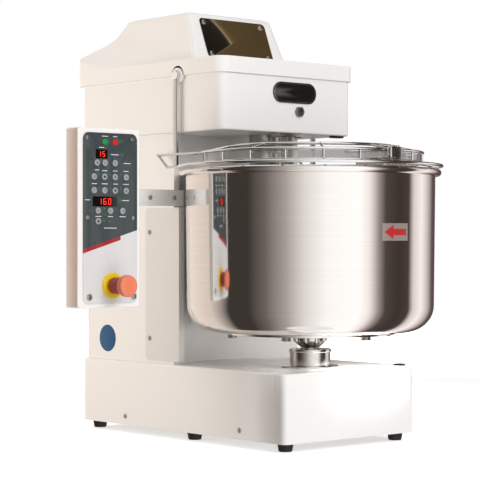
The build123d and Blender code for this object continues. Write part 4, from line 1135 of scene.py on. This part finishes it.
# %% The wall's bands
FOOT_HEIGHT = 0.24  # of the round of the bowl's foot
xyz = add(tree, "ShaderNodeSeparateXYZ", {
    "Vector": add(tree, "ShaderNodeTexCoord").outputs["Object"]})
drop = add(tree, "ShaderNodeMath", {0: xyz.outputs["Z"], 1: FOOT_HEIGHT}, operation="SUBTRACT")
drop = add(tree, "ShaderNodeMath", {0: drop.outputs[0], 1: 0.0}, operation="MINIMUM")
spot = add(tree, "ShaderNodeCombineXYZ", {
    "X": xyz.outputs["X"], "Y": xyz.outputs["Y"], "Z": drop.outputs[0]})
spot = add(tree, "ShaderNodeVectorMath", {0: spot.outputs[0]}, operation="NORMALIZE")
half = add(tree, "ShaderNodeVectorMath", {
    0: spot.outputs[0], 1: (0.0, 1.0, 0.0)}, operation="SUBTRACT")
half = add(tree, "ShaderNodeVectorMath", {0: half.outputs[0]}, operation="NORMALIZE")
half = add(tree, "ShaderNodeSeparateXYZ", {"Vector": half.outputs[0]})
back = add(tree, "ShaderNodeMath", {0: half.outputs["Y"], 1: -1.0}, operation="MULTIPLY")
turn = add(tree, "ShaderNodeMath", {0: half.outputs["X"], 1: back.outputs[0]}, operation="ARCTAN2")
share = add(tree, "ShaderNodeMapRange", {
    "Value": turn.outputs[0], "From Min": -math.pi / 2, "From Max": math.pi / 2})
under = add(tree, "ShaderNodeMapRange", {
    "Value": half.outputs["Z"], "From Min": -0.80, "From Max": -0.93})
ramp = add(tree, "ShaderNodeValToRGB", {"Fac": share.outputs["Result"]})
BANDS = (
    (-180, "#8d8581"), (-160, "#e0d8d2"), (-140, "#e2d8d0"), (-118, "#dccdc2"), (-100, "#cfc4ba"),
    (-86, "#9a918a"), (-77, "#3a3532"), (-56, "#3a3531"), (-40, "#68615d"), (-22, "#a39d98"),
    (-6, "#dcd8d4"), (12, "#f8f7f6"), (40, "#ffffff"), (49, "#efe7e3"), (58, "#958c87"),
    (65, "#4a413e"), (80, "#3b322f"), (93, "#453c39"), (100, "#d8cdca"), (113, "#f4eeec"),
    (126, "#c4b8b5"), (140, "#5a4d4c"), (155, "#4c4241"), (180, "#8d8581"),
)
set_stops(ramp, [((angle + 180) / 360, hex_colour) for angle, hex_colour in BANDS])
banded = add(tree, "ShaderNodeMix", {
    0: under.outputs["Result"], 6: ramp.outputs["Color"], 7: linear("#e9e6e4")}, data_type="RGBA")
tree.links.new(banded.outputs[2], glow.inputs["Color"])
print("the wall has", len(BANDS), "stops")

# %% [markdown]
# The plate on the hump is a mirror that leans back, so it shows what is high on the other side.
# A dark brown card hangs there, seen by the steel alone. Its place is worked out as light
# goes: from the camera to the plate, and on in the mirrored direction.

# %% Card above the mirror plate
CARD_AWAY = 1.3
CARD_SIZE = (1.5, 1.1)
plate_low, plate_high = corners("mirror_plate")
lean = Vector((0.0, plate_high.y - plate_low.y, plate_high.z - plate_low.z)).normalized()
plate_normal = Vector((0.0, -lean.z, lean.y))
plate_middle = middle("mirror_plate")
seen = (plate_middle - camera.location).normalized()
onward = seen - 2 * seen.dot(plate_normal) * plate_normal
upward = Vector((0, 0, 1)) - 2 * plate_normal.z * plate_normal
sideways = upward.cross(-onward).normalized()
card_turn = Matrix((sideways, (-onward).cross(sideways), -onward)).transposed()
card_light, tree, glow = glowing("dark_card_light", 1.0)
xyz = add(tree, "ShaderNodeSeparateXYZ", {
    "Vector": add(tree, "ShaderNodeTexCoord").outputs["Object"]})
share = add(tree, "ShaderNodeMath", {0: xyz.outputs["X"], 1: 0.5}, operation="ADD")
ramp = add(tree, "ShaderNodeValToRGB", {"Fac": share.outputs[0]})
set_stops(ramp, (
    (0.0, "#4f402b"), (0.49, "#5d4d33"), (0.535, "#6e5d3f"), (0.55, "#b9a888"), (0.562, "#2b2620"),
    (1.0, "#14130f")))
tree.links.new(ramp.outputs["Color"], glow.inputs["Color"])
work = bmesh.new()
bmesh.ops.create_grid(work, x_segments=1, y_segments=1, size=0.5)
card = staged("dark_card", work, card_light, ("camera", "diffuse", "shadow"))
card.location = plate_middle + onward * CARD_AWAY
card.rotation_euler = card_turn.to_euler()
card.scale = (*CARD_SIZE, 1.0)
print("card at", tuple(round(v, 2) for v in card.location))

# %% [markdown]
# A white world fills in from above, softened by a grey scrim over the wall so that the tops of
# the casings stay below white. Broad lamps shape the casings: a white one from the front
# right, and a warm one from the left, whose light falls off along the side faces and gives
# them their cream tone. A small one under the bowl lights the column's foot. None shows in
# the steel.

# %% World, scrim and lamps
scene = bpy.context.scene
world = bpy.data.worlds.new("studio_world")
world.use_nodes = True
background = world.node_tree.nodes["Background"]
background.inputs["Color"].default_value = linear("#ffffff")
background.inputs["Strength"].default_value = 1.0
scene.world = world
scene.view_settings.view_transform = "Standard"

scrim_cloth, tree, glow = glowing("ceiling_scrim_cloth", 0.9)
glow.inputs["Color"].default_value = linear("#cfccc9")
work = bmesh.new()
bmesh.ops.create_circle(
    work, cap_ends=True, segments=64, radius=WALL_R,
    matrix=Matrix.Translation(axis + Vector((0, 0, WALL_HIGH))))
staged("ceiling_scrim", work, scrim_cloth, ("camera", "glossy", "shadow"))


def lamp(name, size, power, hex_colour, place, aim):
    """A square lamp at a place, aimed in a direction."""
    data = bpy.data.lights.new(name, "AREA")
    data.shape = "SQUARE"
    data.size = size
    data.energy = power
    data.color = linear(hex_colour)[:3]
    made = bpy.data.objects.new(name, data)
    made.location = place
    made.rotation_euler = aim.to_track_quat("-Z", "Y").to_euler()
    made.visible_camera = False
    made.visible_glossy = False
    bpy.context.scene.collection.objects.link(made)


def around(angle, distance, height):
    """A place round the machine, its angle counted from the camera's side."""
    turn = math.radians(angle)
    offset = (-along * math.cos(turn) + across * math.sin(turn)) * distance
    return axis + offset + Vector((0, 0, height))


machine = axis + Vector((0, 0.15, 0.45))
front, rear_side = around(40, 3.0, 1.7), around(-75, 1.9, 0.45)
under_bowl = axis + Vector((0.05, -0.13, 0.185))
lamp("front_lamp", 1.2, 45.0, "#f6f9ff", front, machine - front)
lamp("rear_side_lamp", 1.2, 21.0, "#fff6ee", rear_side, machine - rear_side)
lamp("under_bowl_lamp", 0.16, 1.5, "#ffffff", under_bowl, Vector((0.0, 1.0, 0.0)))
print("three lamps and a scrim")

# %% [markdown]
# A tan card stands beside the control box and gives its side a warm shade. A black flag stands
# by the base's front corner and keeps light off it. Neither shows to the camera or in the steel.

# %% Card and flag
base_low = corners("base_housing")[0]
FLAGS = (
    ("box_card", "#c6a083", (box_low.x - 0.05, box_low.y - 0.06, box_low.z - 0.03),
     (box_low.x - 0.05, box_high.y + 0.02, box_high.z + 0.03)),
    ("base_flag", "#0c0c0c", (base_low.x - 0.12, base_low.y - 0.18, 0.0),
     (base_low.x - 0.12, base_low.y + 0.08, 0.16)),
)
for name, hex_colour, low, high in FLAGS:
    board = finish(name + "_board", hex_colour, 0.9)[0]
    work = bmesh.new()
    places = ((low[1], low[2]), (high[1], low[2]), (high[1], high[2]), (low[1], high[2]))
    work.faces.new([work.verts.new((low[0], y, z)) for y, z in places])
    staged(name, work, board, ("camera", "glossy"))
print(len(FLAGS), "boards")
